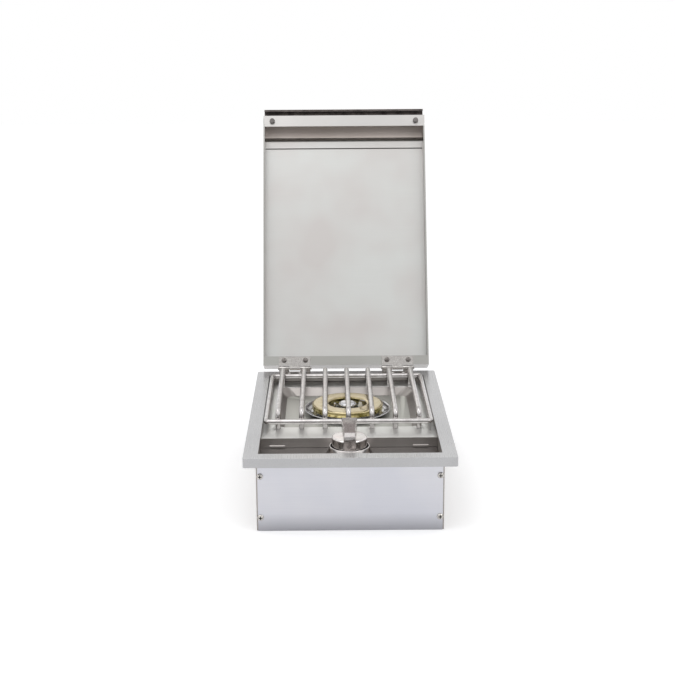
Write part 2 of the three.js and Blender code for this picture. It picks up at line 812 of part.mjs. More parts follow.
const base = cut(
  turned([
    [0, baseBottom], [baseNeck, baseBottom], [baseNeck, baseUnder],
    [baseFlange, baseUnder], [baseFlange, baseTop], [baseBore, baseTop],
    [baseBore, baseBottom + baseFloor], [0, baseBottom + baseFloor],
  ], 0, burnerY),
  bar(
    mixerRadius + seat,
    [0, burnerY - baseNeck - overrun, mixerZ],
    [0, burnerY, mixerZ],
    roundSides / 2,
  ),
  ...fixingHoles(baseUnder - overrun, fixingTip + seat),
);
add('burner_base', base, 'cast');

let ring = turned([
  [burnerHole, ringBottom], [burnerRadius, ringBottom],
  [burnerRadius, ringTop - burnerCrown], [burnerRadius - portDepth, ringTop],
  [burnerHole + portDepth, ringTop], [burnerHole, ringTop - burnerCrown], [burnerHole, ringBottom],
], 0, burnerY, portCount * 2);
for (let i = 0; i < portCount; i += 1) {
  const port = block(
    [burnerRadius - portDepth, burnerRadius + overrun],
    [-portWidth / 2, portWidth / 2],
    [ringBottom - overrun, ringBottom + portHeight],
  );
  ring = cut(ring, port.rotate([0, 0, (i / portCount) * 360]).translate([0, burnerY, 0]));
}
add('burner_ring', ring, 'brass');

const tubeStart = orificeY + orificeLength - orificeInMouth;
const tubeEnd = burnerY - baseNeck + mixerReach;
const mouthEnd = tubeStart + mixerMouthLength;
const coneEnd = mouthEnd + mixerMouthLength;
const alongTube = (radius, y0, y1, endRadius) => (
  bar(radius, [0, y0, mixerZ], [0, y1, mixerZ], roundSides / 2, endRadius)
);
const airWindow = wide(
  mixerMouth + shutterWall + overrun,
  [tubeStart + (shutterLength - shutterWindow) / 2, tubeStart + (shutterLength + shutterWindow) / 2],
  [mixerZ - shutterWindow / 2, mixerZ + shutterWindow / 2],
);
add('mixing_tube', cut(
  join(
    alongTube(mixerRadius, coneEnd - weld, tubeEnd),
    alongTube(mixerMouth, tubeStart, mouthEnd),
    alongTube(mixerMouth, mouthEnd, coneEnd, mixerRadius),
  ),
  alongTube(mixerMouthBore, tubeStart - overrun, mouthEnd),
  alongTube(mixerMouthBore, mouthEnd, coneEnd, mixerBore),
  alongTube(mixerBore, mouthEnd, tubeEnd + overrun),
  airWindow,
), 'cast');

const shutterBore = mixerMouth + seat;
const shutterEnd = tubeStart + shutterLength;
add('air_shutter', cut(
  alongTube(shutterBore + shutterWall, tubeStart, shutterEnd),
  alongTube(shutterBore, tubeStart - overrun, shutterEnd + overrun),
  airWindow,
), 'plain');

const hubZ = ringTop - burnerCrown * 2;
add('burner_hub', turned([
  [0, baseBottom + baseFloor + seat],
  [hubStem, baseBottom + baseFloor + seat],
  [hubStem, hubZ - hubSheet],
  [hubRadius, hubZ - hubSheet],
  ...domeShares.map(([across, up]) => [hubRadius * across, hubZ + hubDome * up]),
], 0, burnerY, smallSides * 2), 'polished');

add('burner_bowl', cut(turned([
  [bowlInner, bowlZ], [bowlFloor, bowlZ], [bowlRadius, bowlZ + bowlRise],
  [bowlRadius - bowlSheet, bowlZ + bowlRise + bowlSheet],
  [bowlFloor - bowlSheet, bowlZ + bowlSheet], [bowlInner, bowlZ + bowlSheet], [bowlInner, bowlZ],
], 0, burnerY), ...fixingHoles(bowlZ - overrun, bowlZ + overrun)), 'polished');

fixings.forEach((x, i) => {
  const under = basinFloor - panSheet - seat;
  add(`burner_screw_${i + 1}`, join(
    bar(fixingHead, [x, burnerY, under - fixingHeadHeight], [x, burnerY, under], 6),
    bar(fixingShank, [x, burnerY, under - weld], [x, burnerY, fixingTip]),
  ), 'plain');
});

const electrodeTurn = THREE.MathUtils.degToRad(electrodeAngle);
const electrodeX = electrodeOffset * Math.cos(electrodeTurn);
const electrodeY = burnerY + electrodeOffset * Math.sin(electrodeTurn);
const insulatorBottom = baseTop + seat;
const insulatorTop = insulatorBottom + insulatorHeight - insulatorSkirt;
add('igniter_insulator', turned([
  [0, insulatorBottom], [insulatorRadius, insulatorBottom],
  [insulatorRadius, insulatorTop - insulatorSkirt],
  [insulatorTip, insulatorTop], [0, insulatorTop],
], electrodeX, electrodeY, smallSides), 'ceramic');
const tipZ = insulatorTop + seat;
const tipX = (electrodeOffset + tipReach) * Math.cos(electrodeTurn);
const tipY = burnerY + (electrodeOffset + tipReach) * Math.sin(electrodeTurn);
add('igniter_tip', bentRod([
  [electrodeX, electrodeY, tipZ],
  [electrodeX, electrodeY, tipZ + tipRise],
  [tipX, tipY, tipZ + tipRise],
], tipBend, tipRadius), 'polished');

const probeTop = insulatorBottom + probeHeight;
add('flame_probe', turned([
  [0, insulatorBottom],
  [probeNut, insulatorBottom],
  [probeNut, insulatorBottom + probeNutHeight],
  [probeRadius, insulatorBottom + probeNutHeight],
  ...domeShares.map(([across, up]) => [probeRadius * across, probeTop - probeRadius * (1 - up)]),
], -electrodeX, electrodeY, smallSides), 'plain');

// Cooking grate: long rods bent down to feet, welded inside a frame of the same rod

const frameRodZ = frameTop;
const legOffset = grateRod * 2 - weld;
const legFront = grateY0 + legOffset;
const legRear = grateY1 - legOffset;
const rodTop = frameTop + grateRise;
const footZ = deckTop + seat;
let grate = rodLoop([
  [0, grateY1, frameRodZ],
  [grateHalfWidth, grateY1, frameRodZ],
  [grateHalfWidth, grateY0, frameRodZ],
  [-grateHalfWidth, grateY0, frameRodZ],
  [-grateHalfWidth, grateY1, frameRodZ],
  [0, grateY1, frameRodZ],
], grateCorner, grateRod);
for (let i = 0; i < grateRods; i += 1) {
  const x = (i - (grateRods - 1) / 2) * gratePitch;
  grate = join(grate, bentRod([
    [x, legFront, footZ],
    [x, legFront, rodTop],
    [x, legRear, rodTop],
    [x, legRear, footZ],
  ], grateBend, grateRod));
}
add('cooking_grate', grate, 'polished');

// Lid. In the group's frame Y and Z are measured from the hinge axis, with the lid closed.

const rimZ = lidGap - hingeRise;
const roofZ = rimZ + lidDepth;
const rearWall = -hingeGap;
const frontWall = frontEdge - lidOverhang - hingeY;
const lidSide = frameWidth / 2 - lidInset;
const bolts = sides.flatMap((side) => sides.map((end) => [
  side * hingeOffset + end * boltOffset, rearWall - boltSetback,
]));
const bumpers = sides.map((side) => [side * (lidSide - bumperInset), frontWall + bumperSetback]);
const rim = [rimZ, rimZ + lidSheet];
const wallHeight = [rimZ, roofZ];
let skin = join(
  wide(lidSide, [frontWall, rearWall], [roofZ - lidSheet, roofZ]),
  wide(lidSide, [frontWall, frontWall + lidSheet], wallHeight),
  wide(lidSide, [rearWall - lidSheet, rearWall], wallHeight),
  wide(lidSide, [frontWall, frontWall + lidFrontHem], rim),
  wide(lidSide, [rearWall - lidRearHem, rearWall], rim),
  block([-lidSide, -lidSide + lidSheet], [frontWall, rearWall], wallHeight),
  block([lidSide - lidSheet, lidSide], [frontWall, rearWall], wallHeight),
  block([-lidSide, -lidSide + lidSideHem], [frontWall, rearWall], rim),
  block([lidSide - lidSideHem, lidSide], [frontWall, rearWall], rim),
);
const rimHole = (radius, [x, y]) => bar(radius, [x, y, rimZ - overrun], [x, y, rimZ + lidSheet + overrun]);
skin = cut(
  skin,
  ...bolts.map((place) => rimHole(boltHole, place)),
  ...bumpers.map((place) => rimHole(bumperPeg + seat, place)),
);
add('lid_skin', skin, 'brushed', lid);

const linerZ = roofZ - linerDrop;
const linerSide = lidSide - lidSheet - seat;
const linerFront = frontWall + linerSetback;
const linerBack = rearWall - lidSheet - seat;
const stepY = linerFront + linerStepAt;
const roofInner = roofZ - lidSheet - seat;
add('lid_liner', join(
  wide(linerSide, [stepY, linerBack], [linerZ - linerSheet, linerZ]),
  wide(linerSide, [linerFront, stepY - linerSlot], [linerZ - linerSheet + linerStep, linerZ + linerStep]),
  wide(linerSide, [linerBack - linerSheet, linerBack], [linerZ - linerSheet, linerZ + linerLip - lidSheet]),
  ...sides.map((side) => block(
    side < 0 ? [-linerSide, -linerSide + linerSheet] : [linerSide - linerSheet, linerSide],
    [linerFront, linerBack],
    [linerZ - linerSheet, roofInner],
  )),
), 'brushed', lid);

const stiffFront = frontWall + lidSheet + stiffenerGap;
const stiffBack = stiffFront + stiffenerWidth;
add('lid_stiffener', join(
  wide(linerSide, [stiffFront, stiffBack], [linerZ - linerSheet, linerZ]),
  wide(linerSide, [stiffFront, stiffFront + linerSheet], [linerZ - linerSheet, roofInner]),
  wide(linerSide, [stiffBack - linerSheet, stiffBack], [linerZ - linerSheet, roofInner]),
), 'plain', lid);

const pullBack = frontWall - seat;
const pullFront = frontWall - pullReach;
add('lid_pull', profileAlongX([
  [pullBack, roofZ],
  [pullFront, roofZ],
  [pullFront, roofZ - pullDepth],
  [pullFront + pullHook, roofZ - pullDepth],
  [pullFront + pullHook, roofZ - pullDepth + pullSheet],
  [pullFront + pullSheet, roofZ - pullDepth + pullSheet],
  [pullFront + pullSheet, roofZ - pullSheet],
  [pullBack - pullSheet, roofZ - pullSheet],
  [pullBack - pullSheet, roofZ - pullLeg],
  [pullBack, roofZ - pullLeg],
], -lidSide, lidSide), 'brushed', lid);

const bumperFoot = -hingeRise + seat;
bumpers.forEach(([x, y], i) => {
  add(i === 0 ? 'lid_bumper_left' : 'lid_bumper_right', turned([
    [0, bumperFoot],
    [bumperFootRadius, bumperFoot],
    [bumperRadius, rimZ - seat],
    [bumperPeg, rimZ - seat],
    [bumperPeg, rimZ + lidSheet + seat],
    [bumperPegHead, rimZ + lidSheet + seat],
    [bumperPeg, rimZ + lidSheet + seat + bumperPegHeadHeight],
    [0, rimZ + lidSheet + seat + bumperPegHeadHeight],
  ], x, y, smallSides), 'rubber', lid);
});

// Hinges: three knuckles on a pin, the middle one on the lid's leaf

const third = hingeWidth / 3;
sides.forEach((side) => {
  const word = side < 0 ? 'left' : 'right';
  const x0 = side * hingeOffset - hingeWidth / 2;
  const x1 = x0 + hingeWidth;
  const knuckle = (a, b, y, z) => bar(knuckleRadius, [a, y, z], [b, y, z]);
  const bore = (y, z) => bar(knuckleBore, [x0 - overrun, y, z], [x1 + overrun, y, z]);
  const ledge = frameTop + seat;
  const slot = knuckleRadius + knuckleGap;
  let fixed = join(
    block([x0, x1], [hingeY - fixedLeaf, hingeY + hingeSheet / 2], [ledge, ledge + hingeSheet]),
    ...[[x0, x0 + third - knuckleGap], [x1 - third + knuckleGap, x1]].flatMap(([a, b]) => [
      knuckle(a, b, hingeY, hingeZ),
      block([a, b], [hingeY - hingeSheet / 2, hingeY + hingeSheet / 2], [ledge, hingeZ - knuckleBore]),
    ]),
  );
  fixed = cut(fixed, bore(hingeY, hingeZ));
  for (const end of sides) {
    const x = side * hingeOffset + end * rivetOffset;
    const y = hingeY - rivetSetback;
    fixed = cut(fixed, bar(rivetHole, [x, y, ledge - overrun], [x, y, ledge + hingeSheet + overrun]));
  }
  add(`${word}_hinge_fixed_leaf`, fixed, 'polished');

  const leafTop = rimZ - seat;
  let moving = join(
    block([x0, x1], [rearWall - movingLeaf + hingeGap, -slot], [leafTop - hingeSheet, leafTop]),
    block([x0 + third, x1 - third], [-slot - weld, -knuckleBore], [leafTop - hingeSheet, leafTop]),
    knuckle(x0 + third, x1 - third, 0, 0),
  );
  moving = cut(moving, bore(0, 0));
  for (const end of sides) {
    const x = side * hingeOffset + end * boltOffset;
    const y = rearWall - boltSetback;
    moving = cut(moving, bar(boltHole, [x, y, leafTop - hingeSheet - overrun], [x, y, leafTop + overrun]));
    const under = leafTop - hingeSheet - seat;
    const nutZ = rimZ + lidSheet + seat;
    const number = (side > 0 ? 2 : 0) + (end > 0 ? 2 : 1);
    add(`lid_bolt_${number}`, join(
      dome(boltHead, under, -boltHeadHeight, x, y),
      bar(boltShank, [x, y, under - weld], [x, y, nutZ + boltNutHeight]),
      bar(boltNut, [x, y, nutZ], [x, y, nutZ + boltNutHeight], 6),
    ), 'polished', lid);
  }
  add(`${word}_hinge_moving_leaf`, moving, 'polished', lid);

  add(`${word}_hinge_pin`, join(
    bar(pinRadius, [x0 - seat, hingeY, hingeZ], [x1 + seat, hingeY, hingeZ]),
    bar(pinHead, [x0 - seat - pinHeadLength, hingeY, hingeZ], [x0 - seat, hingeY, hingeZ]),
    bar(pinHead, [x1 + seat, hingeY, hingeZ], [x1 + seat + pinHeadLength, hingeY, hingeZ]),
  ), 'polished');
});

rivets.forEach(([x, y], i) => {
  const top = frameTop + hingeSheet + seat * 2;
  const under = frameUnder - seat;
  add(`hinge_rivet_${i + 1}`, join(
    dome(rivetHead, top, rivetHeadHeight, x, y),
    bar(rivetShank, [x, y, under - rivetHeadHeight], [x, y, top + weld]),
    bar(rivetHead, [x, y, under - rivetHeadHeight], [x, y, under]),
  ), 'polished');
});

export default burner;
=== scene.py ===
# %% [markdown]
# # A built-in side burner
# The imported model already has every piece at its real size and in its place. This
# lesson gives each piece the rounded edges, turned curves and metal finishes of the
# real one, and then lights it the way the photograph does.

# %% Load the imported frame
import json
import math

import bmesh
import bpy
from mathutils import Matrix, Vector


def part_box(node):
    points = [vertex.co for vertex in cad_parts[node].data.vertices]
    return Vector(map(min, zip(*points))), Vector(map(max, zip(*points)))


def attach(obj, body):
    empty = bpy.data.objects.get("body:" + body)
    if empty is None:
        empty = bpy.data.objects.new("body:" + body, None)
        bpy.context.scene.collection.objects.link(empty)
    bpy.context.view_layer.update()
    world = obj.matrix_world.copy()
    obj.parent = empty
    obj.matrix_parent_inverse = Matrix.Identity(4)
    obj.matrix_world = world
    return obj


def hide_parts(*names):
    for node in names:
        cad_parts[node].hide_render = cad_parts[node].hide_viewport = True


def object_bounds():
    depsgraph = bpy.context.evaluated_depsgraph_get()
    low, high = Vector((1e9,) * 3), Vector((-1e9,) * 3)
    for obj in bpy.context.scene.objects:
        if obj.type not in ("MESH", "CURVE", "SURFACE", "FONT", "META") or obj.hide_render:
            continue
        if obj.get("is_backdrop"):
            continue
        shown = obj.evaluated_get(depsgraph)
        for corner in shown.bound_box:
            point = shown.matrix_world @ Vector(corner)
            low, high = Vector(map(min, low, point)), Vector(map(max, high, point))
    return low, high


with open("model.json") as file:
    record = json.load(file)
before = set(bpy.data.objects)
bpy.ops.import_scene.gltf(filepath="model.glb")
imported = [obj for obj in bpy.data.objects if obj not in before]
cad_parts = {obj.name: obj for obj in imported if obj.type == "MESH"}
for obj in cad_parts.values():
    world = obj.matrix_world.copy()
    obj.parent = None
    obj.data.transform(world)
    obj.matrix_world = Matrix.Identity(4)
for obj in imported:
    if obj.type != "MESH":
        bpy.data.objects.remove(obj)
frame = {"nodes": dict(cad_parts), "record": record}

nodes = frame["nodes"]
cad_box = [list(corner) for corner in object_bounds()]
MM = 0.001


def new_object(name, data):
    obj = bpy.data.objects.new(name, data)
    bpy.context.collection.objects.link(obj)
    return obj


# %% [markdown]
# ## The camera
# The photograph looks down on the burner from the front, a little to its left. The
# place, the tilts and the lens were worked out from where the trim frame's corners,
# the open lid and the front panel's lower edge are in the picture.

# %% Camera
EYE = Vector((-27.2, -2078.9, 758.3)) * MM
PITCH, YAW, ROLL = (math.radians(angle) for angle in (14.39, 0.31, -0.35))
# The sensor's width covers the picture's longer side, which is its height.
FOCAL_PIXELS, PICTURE_HEIGHT, SENSOR_WIDTH = 1384, 686, 36
FARTHEST = 20  # metres

camera_data = bpy.data.cameras.new("photograph_view")
camera_data.sensor_width = SENSOR_WIDTH
camera_data.lens = SENSOR_WIDTH * FOCAL_PIXELS / PICTURE_HEIGHT
camera_data.clip_end = FARTHEST
camera = new_object("photograph_view", camera_data)
turn = Matrix.Rotation(-YAW, 4, "Z") @ Matrix.Rotation(math.pi / 2 - PITCH, 4, "X")
camera.matrix_world = Matrix.Translation(EYE) @ turn @ Matrix.Rotation(ROLL, 4, "Z")
bpy.context.scene.camera = camera
print("camera:", round(camera_data.lens, 2), "mm lens")

# %% [markdown]
# ## Nodes and colours
# Materials and Geometry Nodes are both trees of nodes. One small function adds a
# node, sets its choices and joins or fills its inputs, so that a tree reads from top
# to bottom. Colours are written as they look on a screen, and are turned into the
# linear values that a shader works with.

# %% Node and colour helpers
def add(tree, kind, inputs=None, **settings):
    node = tree.nodes.new(kind)
    for key, value in settings.items():
        setattr(node, key, value)
    for socket, value in (inputs or {}).items():
        if isinstance(value, list):
            for source in value:
                tree.links.new(source, node.inputs[socket])
        elif isinstance(value, bpy.types.NodeSocket):
            tree.links.new(value, node.inputs[socket])
        else:
            node.inputs[socket].default_value = value
    return node


# Adds a node and gives its first output.
def result(tree, kind, inputs=None, **settings):
    return add(tree, kind, inputs, **settings).outputs[0]


def linear(code):
    shares = [int(code[i:i + 2], 16) / 255 for i in (1, 3, 5)]
    return [c / 12.92 if c <= 0.04045 else ((c + 0.055) / 1.055) ** 2.4 for c in shares] + [1]


def new_finish(name, metallic, roughness=0.5):
    material = bpy.data.materials.new(name)
    material.use_nodes = True
    shader = material.node_tree.nodes["Principled BSDF"]
    shader.inputs["Metallic"].default_value = metallic
    shader.inputs["Roughness"].default_value = roughness
    place = add(material.node_tree, "ShaderNodeTexCoord").outputs["Object"]
    return material, material.node_tree, shader, place


# Blends two colours by a factor; 6 and 7 are the colour inputs of the Mix node.
def blended(tree, factor, first, second):
    mix = add(tree, "ShaderNodeMix", {0: factor}, data_type="RGBA")
    for socket, colour in ((6, first), (7, second)):
        if isinstance(colour, str):
            mix.inputs[socket].default_value = linear(colour)
        else:
            tree.links.new(colour, mix.inputs[socket])
    return mix.outputs[2]


# Noise whose spots have the given size along each axis.
def stretched(tree, place, size_mm, detail=2):
    scale = tuple(1 / (MM * size) for size in size_mm)
    mapping = result(tree, "ShaderNodeMapping", {"Vector": place, "Scale": scale})
    return result(tree, "ShaderNodeTexNoise", {"Vector": mapping, "Scale": 1, "Detail": detail})


# Spreads the middle of a noise, where most of its values lie, over a whole range.
def ranged(tree, value, low, high, from_low=0.35, from_high=0.65):
    return result(tree, "ShaderNodeMapRange", {
        "Value": value, "From Min": from_low, "From Max": from_high, "To Min": low, "To Max": high,
    })


def surfaced(tree, shader, colour, roughness, height, strength, depth_mm):
    bump = result(tree, "ShaderNodeBump", {
        "Height": height, "Strength": strength, "Distance": MM * depth_mm,
    })
    ends = {"Base Color": colour, "Roughness": roughness, "Normal": bump}
    for socket, source in ends.items():
        tree.links.new(source, shader.inputs[socket])

# %% [markdown]
# ## Brushed stainless sheet
# The trim frame, the box and the lid are stainless steel sheet, polished with a belt
# that leaves fine scratches in one direction. An anisotropic shader is lost when a
# model is exported, so long thin noise is used. It moves the colour, the roughness and
# the surface a little along the grain.

# %% Brushed sheet
# Real grain is about 0.1 mm wide. It is drawn 0.8 mm wide here, so that it shows.
GRAIN_WIDTH, GRAIN_LENGTH = 0.8, 70.0


def brushed_sheet(name, tints, roughness, cloud_mm=80, streak=0.4, along="X"):
    material, tree, shader, place = new_finish(name, metallic=1)
    light, tinted, dull = tints
    grain_size = [GRAIN_LENGTH if axis == along else GRAIN_WIDTH for axis in "XYZ"]
    grain = stretched(tree, place, grain_size, detail=3)
    cloud = stretched(tree, place, [cloud_mm] * 3)
    cloudy = blended(tree, ranged(tree, cloud, 0, 1), light, tinted)
    streaked = blended(tree, ranged(tree, grain, 0, streak), cloudy, dull)
    rough = ranged(tree, grain, roughness - 0.02, roughness + 0.04)
    surfaced(tree, shader, streaked, rough, grain, 0.04, 0.02)
    return material


# Blends a sheet's colour into a darker one below a height: painted shade.
def painted_shade_below(material, colour, from_z, to_z):
    tree = material.node_tree
    base = tree.nodes["Principled BSDF"].inputs["Base Color"]
    place = add(tree, "ShaderNodeTexCoord").outputs["Object"]
    height = add(tree, "ShaderNodeSeparateXYZ", {0: place}).outputs["Z"]
    share = ranged(tree, height, 1, 0, from_z, to_z)
    tree.links.new(blended(tree, share, base.links[0].from_socket, colour), base)


# Stainless sheet, belt polished: neutral grey. The frame's grain runs front to back.
frame_sheet = brushed_sheet(
    "stainless_sheet_brushed_along_y", ("#C2C2C3", "#BCBCBD", "#B4B4B6"), 0.28,
    streak=0.08, along="Y",
)
panel_sheet = brushed_sheet(
    "stainless_sheet_brushed_along_x", ("#DFDFE4", "#D9DAE1", "#CFCFD6"), 0.32, streak=0.12,
)
# Low down, near the floor, the panels are drawn darker: painted shade, for the dark floor that
# they reflect there.
FLOOR_SHADE_HEIGHT, DRAWN_WALL, DECK_SKIN = 26 * MM, 12 * MM, 2 * MM
painted_shade_below(panel_sheet, "#B3B3B8", 0, FLOOR_SHADE_HEIGHT)
# The trough for the knob is polished finer, so it mirrors the dark walls round it.
tray_sheet = brushed_sheet(
    "polished_stainless_tray", ("#C6C5C4", "#BEBCBB", "#AFAEAD"), 0.17, streak=0.3,
)
# The deck and the basin are softly blasted, which hides scratches from the pans. The
# basin is drawn darker below the deck: painted shade in its hollow.
deck_sheet = brushed_sheet(
    "satin_stainless_deck", ("#EAEAE8", "#E3E3E0", "#D9D9D5"), 0.38, cloud_mm=50, streak=0.1,
)
pan_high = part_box("burner_pan")[1]
painted_shade_below(deck_sheet, "#BCBCB6", pan_high.z - DRAWN_WALL, pan_high.z - DECK_SKIN)
# A darker sheet for the walls that face into the basin: painted shade.
shade_wall_sheet = brushed_sheet(
    "heat_dulled_basin_wall", ("#A9A4A1", "#9F9A97", "#918C89"), 0.3, cloud_mm=40, streak=0.2,
)
# The lid's skin and liner are thinner, softly polished and mottled, warm or green.
liner_sheet = brushed_sheet(
    "stainless_liner_sheet", ("#D3D4D2", "#CDC9C7", "#C8CAC5"), 0.32, cloud_mm=110, streak=0.12,
)
lid_sheet = brushed_sheet(
    "stainless_lid_skin_sheet", ("#D0CDCB", "#C9C7C5", "#BFBDBA"), 0.3, streak=0.2,
)
# The skin's inside, below the liner's top, is drawn darker: painted shade where it lies
# recessed round the liner.
shaded_inside_sheet = brushed_sheet(
    "unpolished_lid_inside", ("#B4B4B0", "#AFAEAA", "#A5A5A0"), 0.32, streak=0.2,
)
# Mill-finished sheet inside and under the box: duller, a little brown, unpolished.
mill_sheet = brushed_sheet("mill_finished_sheet", ("#B5B0AC", "#ACA7A2", "#A19C98"), 0.42)
# The stiffener behind the lid's front edge is drawn a warm grey, far lighter than the
# liner: painted light, which lifts it out of the shade of the front edge.
stiffener_sheet = brushed_sheet(
    "heat_browned_stiffener_sheet", ("#ECE2DC", "#E2D7D0", "#D6CBC4"), 0.55, streak=0.2,
)
finish_count = len(bpy.data.materials)
print("materials so far:", finish_count)

# %% [markdown]
# ## Spun, drawn and plated steel
# The bowl round the burner and its cap are spun on a lathe, so their fine lines are
# rings. The grate is drawn rod, bright and smooth. The knob and its bezel are zinc
# castings plated with chromium, which is almost a mirror, with a slight waviness.

# %% Spun steel, drawn rod and chromium plate
ring_low, ring_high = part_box("burner_ring")
burner_axis = (ring_low + ring_high) / 2


RING_WIDTH = 1.5  # mm; the real tool marks are finer than the render can show


def spun_sheet(name, light, dull, axis, roughness):
    material, tree, shader, place = new_finish(name, metallic=1)
    level = result(tree, "ShaderNodeMapping", {
        "Vector": place, "Scale": (1, 1, 0), "Location": (-axis.x, -axis.y, 0),
    })
    radius = add(tree, "ShaderNodeVectorMath", {0: level}, operation="LENGTH").outputs["Value"]
    rings = result(tree, "ShaderNodeTexNoise", {
        "W": radius, "Scale": 1 / (MM * RING_WIDTH), "Detail": 3,
    }, noise_dimensions="1D")
    cloud = stretched(tree, place, [30] * 3)
    ringed = blended(tree, rings, light, dull)
    colour = blended(tree, ranged(tree, cloud, 0, 0.7), ringed, dull)
    rough = ranged(tree, rings, roughness - 0.06, roughness + 0.08)
    surfaced(tree, shader, colour, rough, rings, 0.3, 0.06)
    return material


def plated(name, light, dull, roughness, wave_mm, wave_depth=0.4):
    material, tree, shader, place = new_finish(name, metallic=1)
    wave = stretched(tree, place, [wave_mm] * 3, detail=1)
    smear = stretched(tree, place, [wave_mm / 3] * 3, detail=4)
    colour = blended(tree, ranged(tree, smear, 0, 1), light, dull)
    rough = ranged(tree, smear, roughness * 0.7, roughness * 1.5)
    surfaced(tree, shader, colour, rough, wave, 0.35, wave_depth)
    return material


# Spun stainless steel: fine rings and bright arcs where the curve turns.
bowl_steel = spun_sheet("spun_stainless_bowl", "#D9D9DA", "#C6C6C9", burner_axis, 0.12)
# Drawn stainless rod, electropolished: bright, with small dull smears.
rod_steel = plated("electropolished_rod", "#D2CFCE", "#BDB9B8", 0.13, 25, wave_depth=0.06)
# Chromium on cast zinc: a mirror with a faint ripple from the casting.
knob_chrome = plated("chromium_plated_zinc", "#E6E1DF", "#D2CDCB", 0.08, 14)
# The top of the grip is blasted before it is plated, so that fingers don't slip on it.
grip_satin = plated("satin_chromium_on_zinc", "#8F8785", "#7C7472", 0.24, 9)
# Plated steel of the hinges, screws, bolts and rivets: bright but less even.
fastener_steel = plated("zinc_plated_steel", "#C4C1BE", "#ADA9A6", 0.2, 6)
# The bolts through the lid are drawn darker than the other plated steel.
bolt_steel = plated("heat_darkened_bolt", "#8F8A87", "#6E6966", 0.22, 6)
# The panel screws are nickel plated and domed, so each one holds a small room.
screw_nickel = plated("nickel_plated_screw", "#E2DFDA", "#CFCBC5", 0.08, 5)
print("bright metals:", len(bpy.data.materials) - finish_count)

# %% [markdown]
# ## Brass, cast aluminium, ceramic and rubber
# The burner's ring is a brass casting that has been turned on its top, pale gold there
# and olive where it is left as cast. The valve and the gas fittings are turned brass
# all over. The burner's body is sand-cast aluminium, which is grey and grainy. The
# igniter has a glazed ceramic body, and the lid's bumpers are moulded silicone rubber.

# %% The other finishes
def cast_brass(name, top, side, top_height):
    material, tree, shader, place = new_finish(name, metallic=1)
    height = add(tree, "ShaderNodeSeparateXYZ", {0: place}).outputs["Z"]
    turned_face = ranged(tree, height, 0, 1, top_height - 2.6 * MM, top_height - 1.2 * MM)
    sand = stretched(tree, place, [1.2] * 3, detail=3)
    heat = stretched(tree, place, [14] * 3)
    cast_side = blended(tree, ranged(tree, heat, 0, 1), side, "#8A7F45")
    faced = blended(tree, ranged(tree, heat, 0, 0.6), top, "#B8A67C")
    colour = blended(tree, turned_face, cast_side, faced)
    surfaced(tree, shader, colour, ranged(tree, sand, 0.14, 0.26), sand, 0.3, 0.15)
    return material


def grainy(name, metallic, light, dull, roughness, grain_mm, depth_mm):
    material, tree, shader, place = new_finish(name, metallic)
    grain = stretched(tree, place, [grain_mm] * 3, detail=4)
    cloud = stretched(tree, place, [grain_mm * 12] * 3)
    cloudy = blended(tree, ranged(tree, cloud, 0, 1), light, dull)
    colour = blended(tree, ranged(tree, grain, 0, 0.5), cloudy, dull)
    rough = ranged(tree, grain, roughness - 0.06, roughness + 0.06)
    surfaced(tree, shader, colour, rough, grain, 0.6, depth_mm)
    return material


# Cast brass, faced on the lathe: pale tan-gold above, olive and uneven on the side.
ring_brass = cast_brass("cast_brass_ring", "#CFC3A3", "#D6C78F", ring_high.z)
# Machined brass: even gold with fine tool marks.
fitting_brass = grainy("machined_brass", 1, "#D0B063", "#B4934A", 0.28, 0.8, 0.03)
# Sand-cast aluminium: dull grey with a grain about 1 mm across, as the sand leaves it.
cast_alloy = grainy("sand_cast_aluminium", 1, "#AEAFB1", "#8C8D90", 0.5, 1.0, 0.12)
# Glazed alumina ceramic: warm white, glossy, with a few darker specks.
glaze = grainy("glazed_alumina", 0, "#F1EEE6", "#DCD7CA", 0.22, 1.6, 0.02)
glaze.node_tree.nodes["Principled BSDF"].inputs["Coat Weight"].default_value = 0.4
# A screw's recess is drawn dark: painted shade in a hollow too small to shade itself.
recess_shade = grainy("oiled_steel_recess", 1, "#4A4A4C", "#2E2E30", 0.6, 0.5, 0.03)
# The inside of the lid's pull is drawn dark brown: painted shade under its lip.
pull_shade = grainy("rolled_steel_scale", 1, "#6B6461", "#474140", 0.55, 0.8, 0.03)
# Moulded silicone rubber: grey, matt, with a dusty grain.
bumper_rubber = grainy("moulded_rubber", 0, "#85807E", "#6A6664", 0.72, 0.9, 0.08)
print("other finishes:", ring_brass.name, fitting_brass.name, cast_alloy.name, glaze.name)

# %% [markdown]
# ## Finished pieces
# Every piece ends the same way: its faces are smooth except across real corners, it
# rides on the body that carries it, and it stands for its node of the frame. A piece
# that comes from a copy of its node says
# itself which faces are round, because a smooth normal at a corner of a wide flat face
# would bend the whole reflection. It also drops the normals that were stored with the
# node, which no longer fit its new edges.

# %% Finishing a piece
body_of_node = {
    name: body
    for body, members in frame["record"]["behaviour"]["bodies"].items()
    for name in members
}
made = {}  # the faces of each piece, by its name


def finish_piece(obj, finish, replaced, corner=35, smooth=True):
    mesh = obj.data
    if not mesh.materials:
        mesh.materials.append(finish)
    if smooth:
        mesh.shade_smooth()
    # Marking the sharp edges makes every face smooth, so the flat ones are put back.
    round_faces = [face.use_smooth for face in mesh.polygons]
    mesh.set_sharp_from_angle(angle=math.radians(corner))
    mesh.polygons.foreach_set("use_smooth", round_faces)
    mesh.name = obj.name
    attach(obj, body_of_node[replaced[0]])
    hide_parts(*replaced)
    made[obj.name] = len(mesh.polygons)
    return obj


def mesh_of(name, shape):
    mesh = bpy.data.meshes.new(name)
    shape.to_mesh(mesh)
    shape.free()
    return mesh


def new_piece(name, shape, finish, replaced, corner=35, smooth=True):
    mesh = mesh_of(name, shape)
    stored = mesh.attributes.get("custom_normal")
    if stored:
        mesh.attributes.remove(stored)
    return finish_piece(new_object(name, mesh), finish, replaced, corner, smooth)

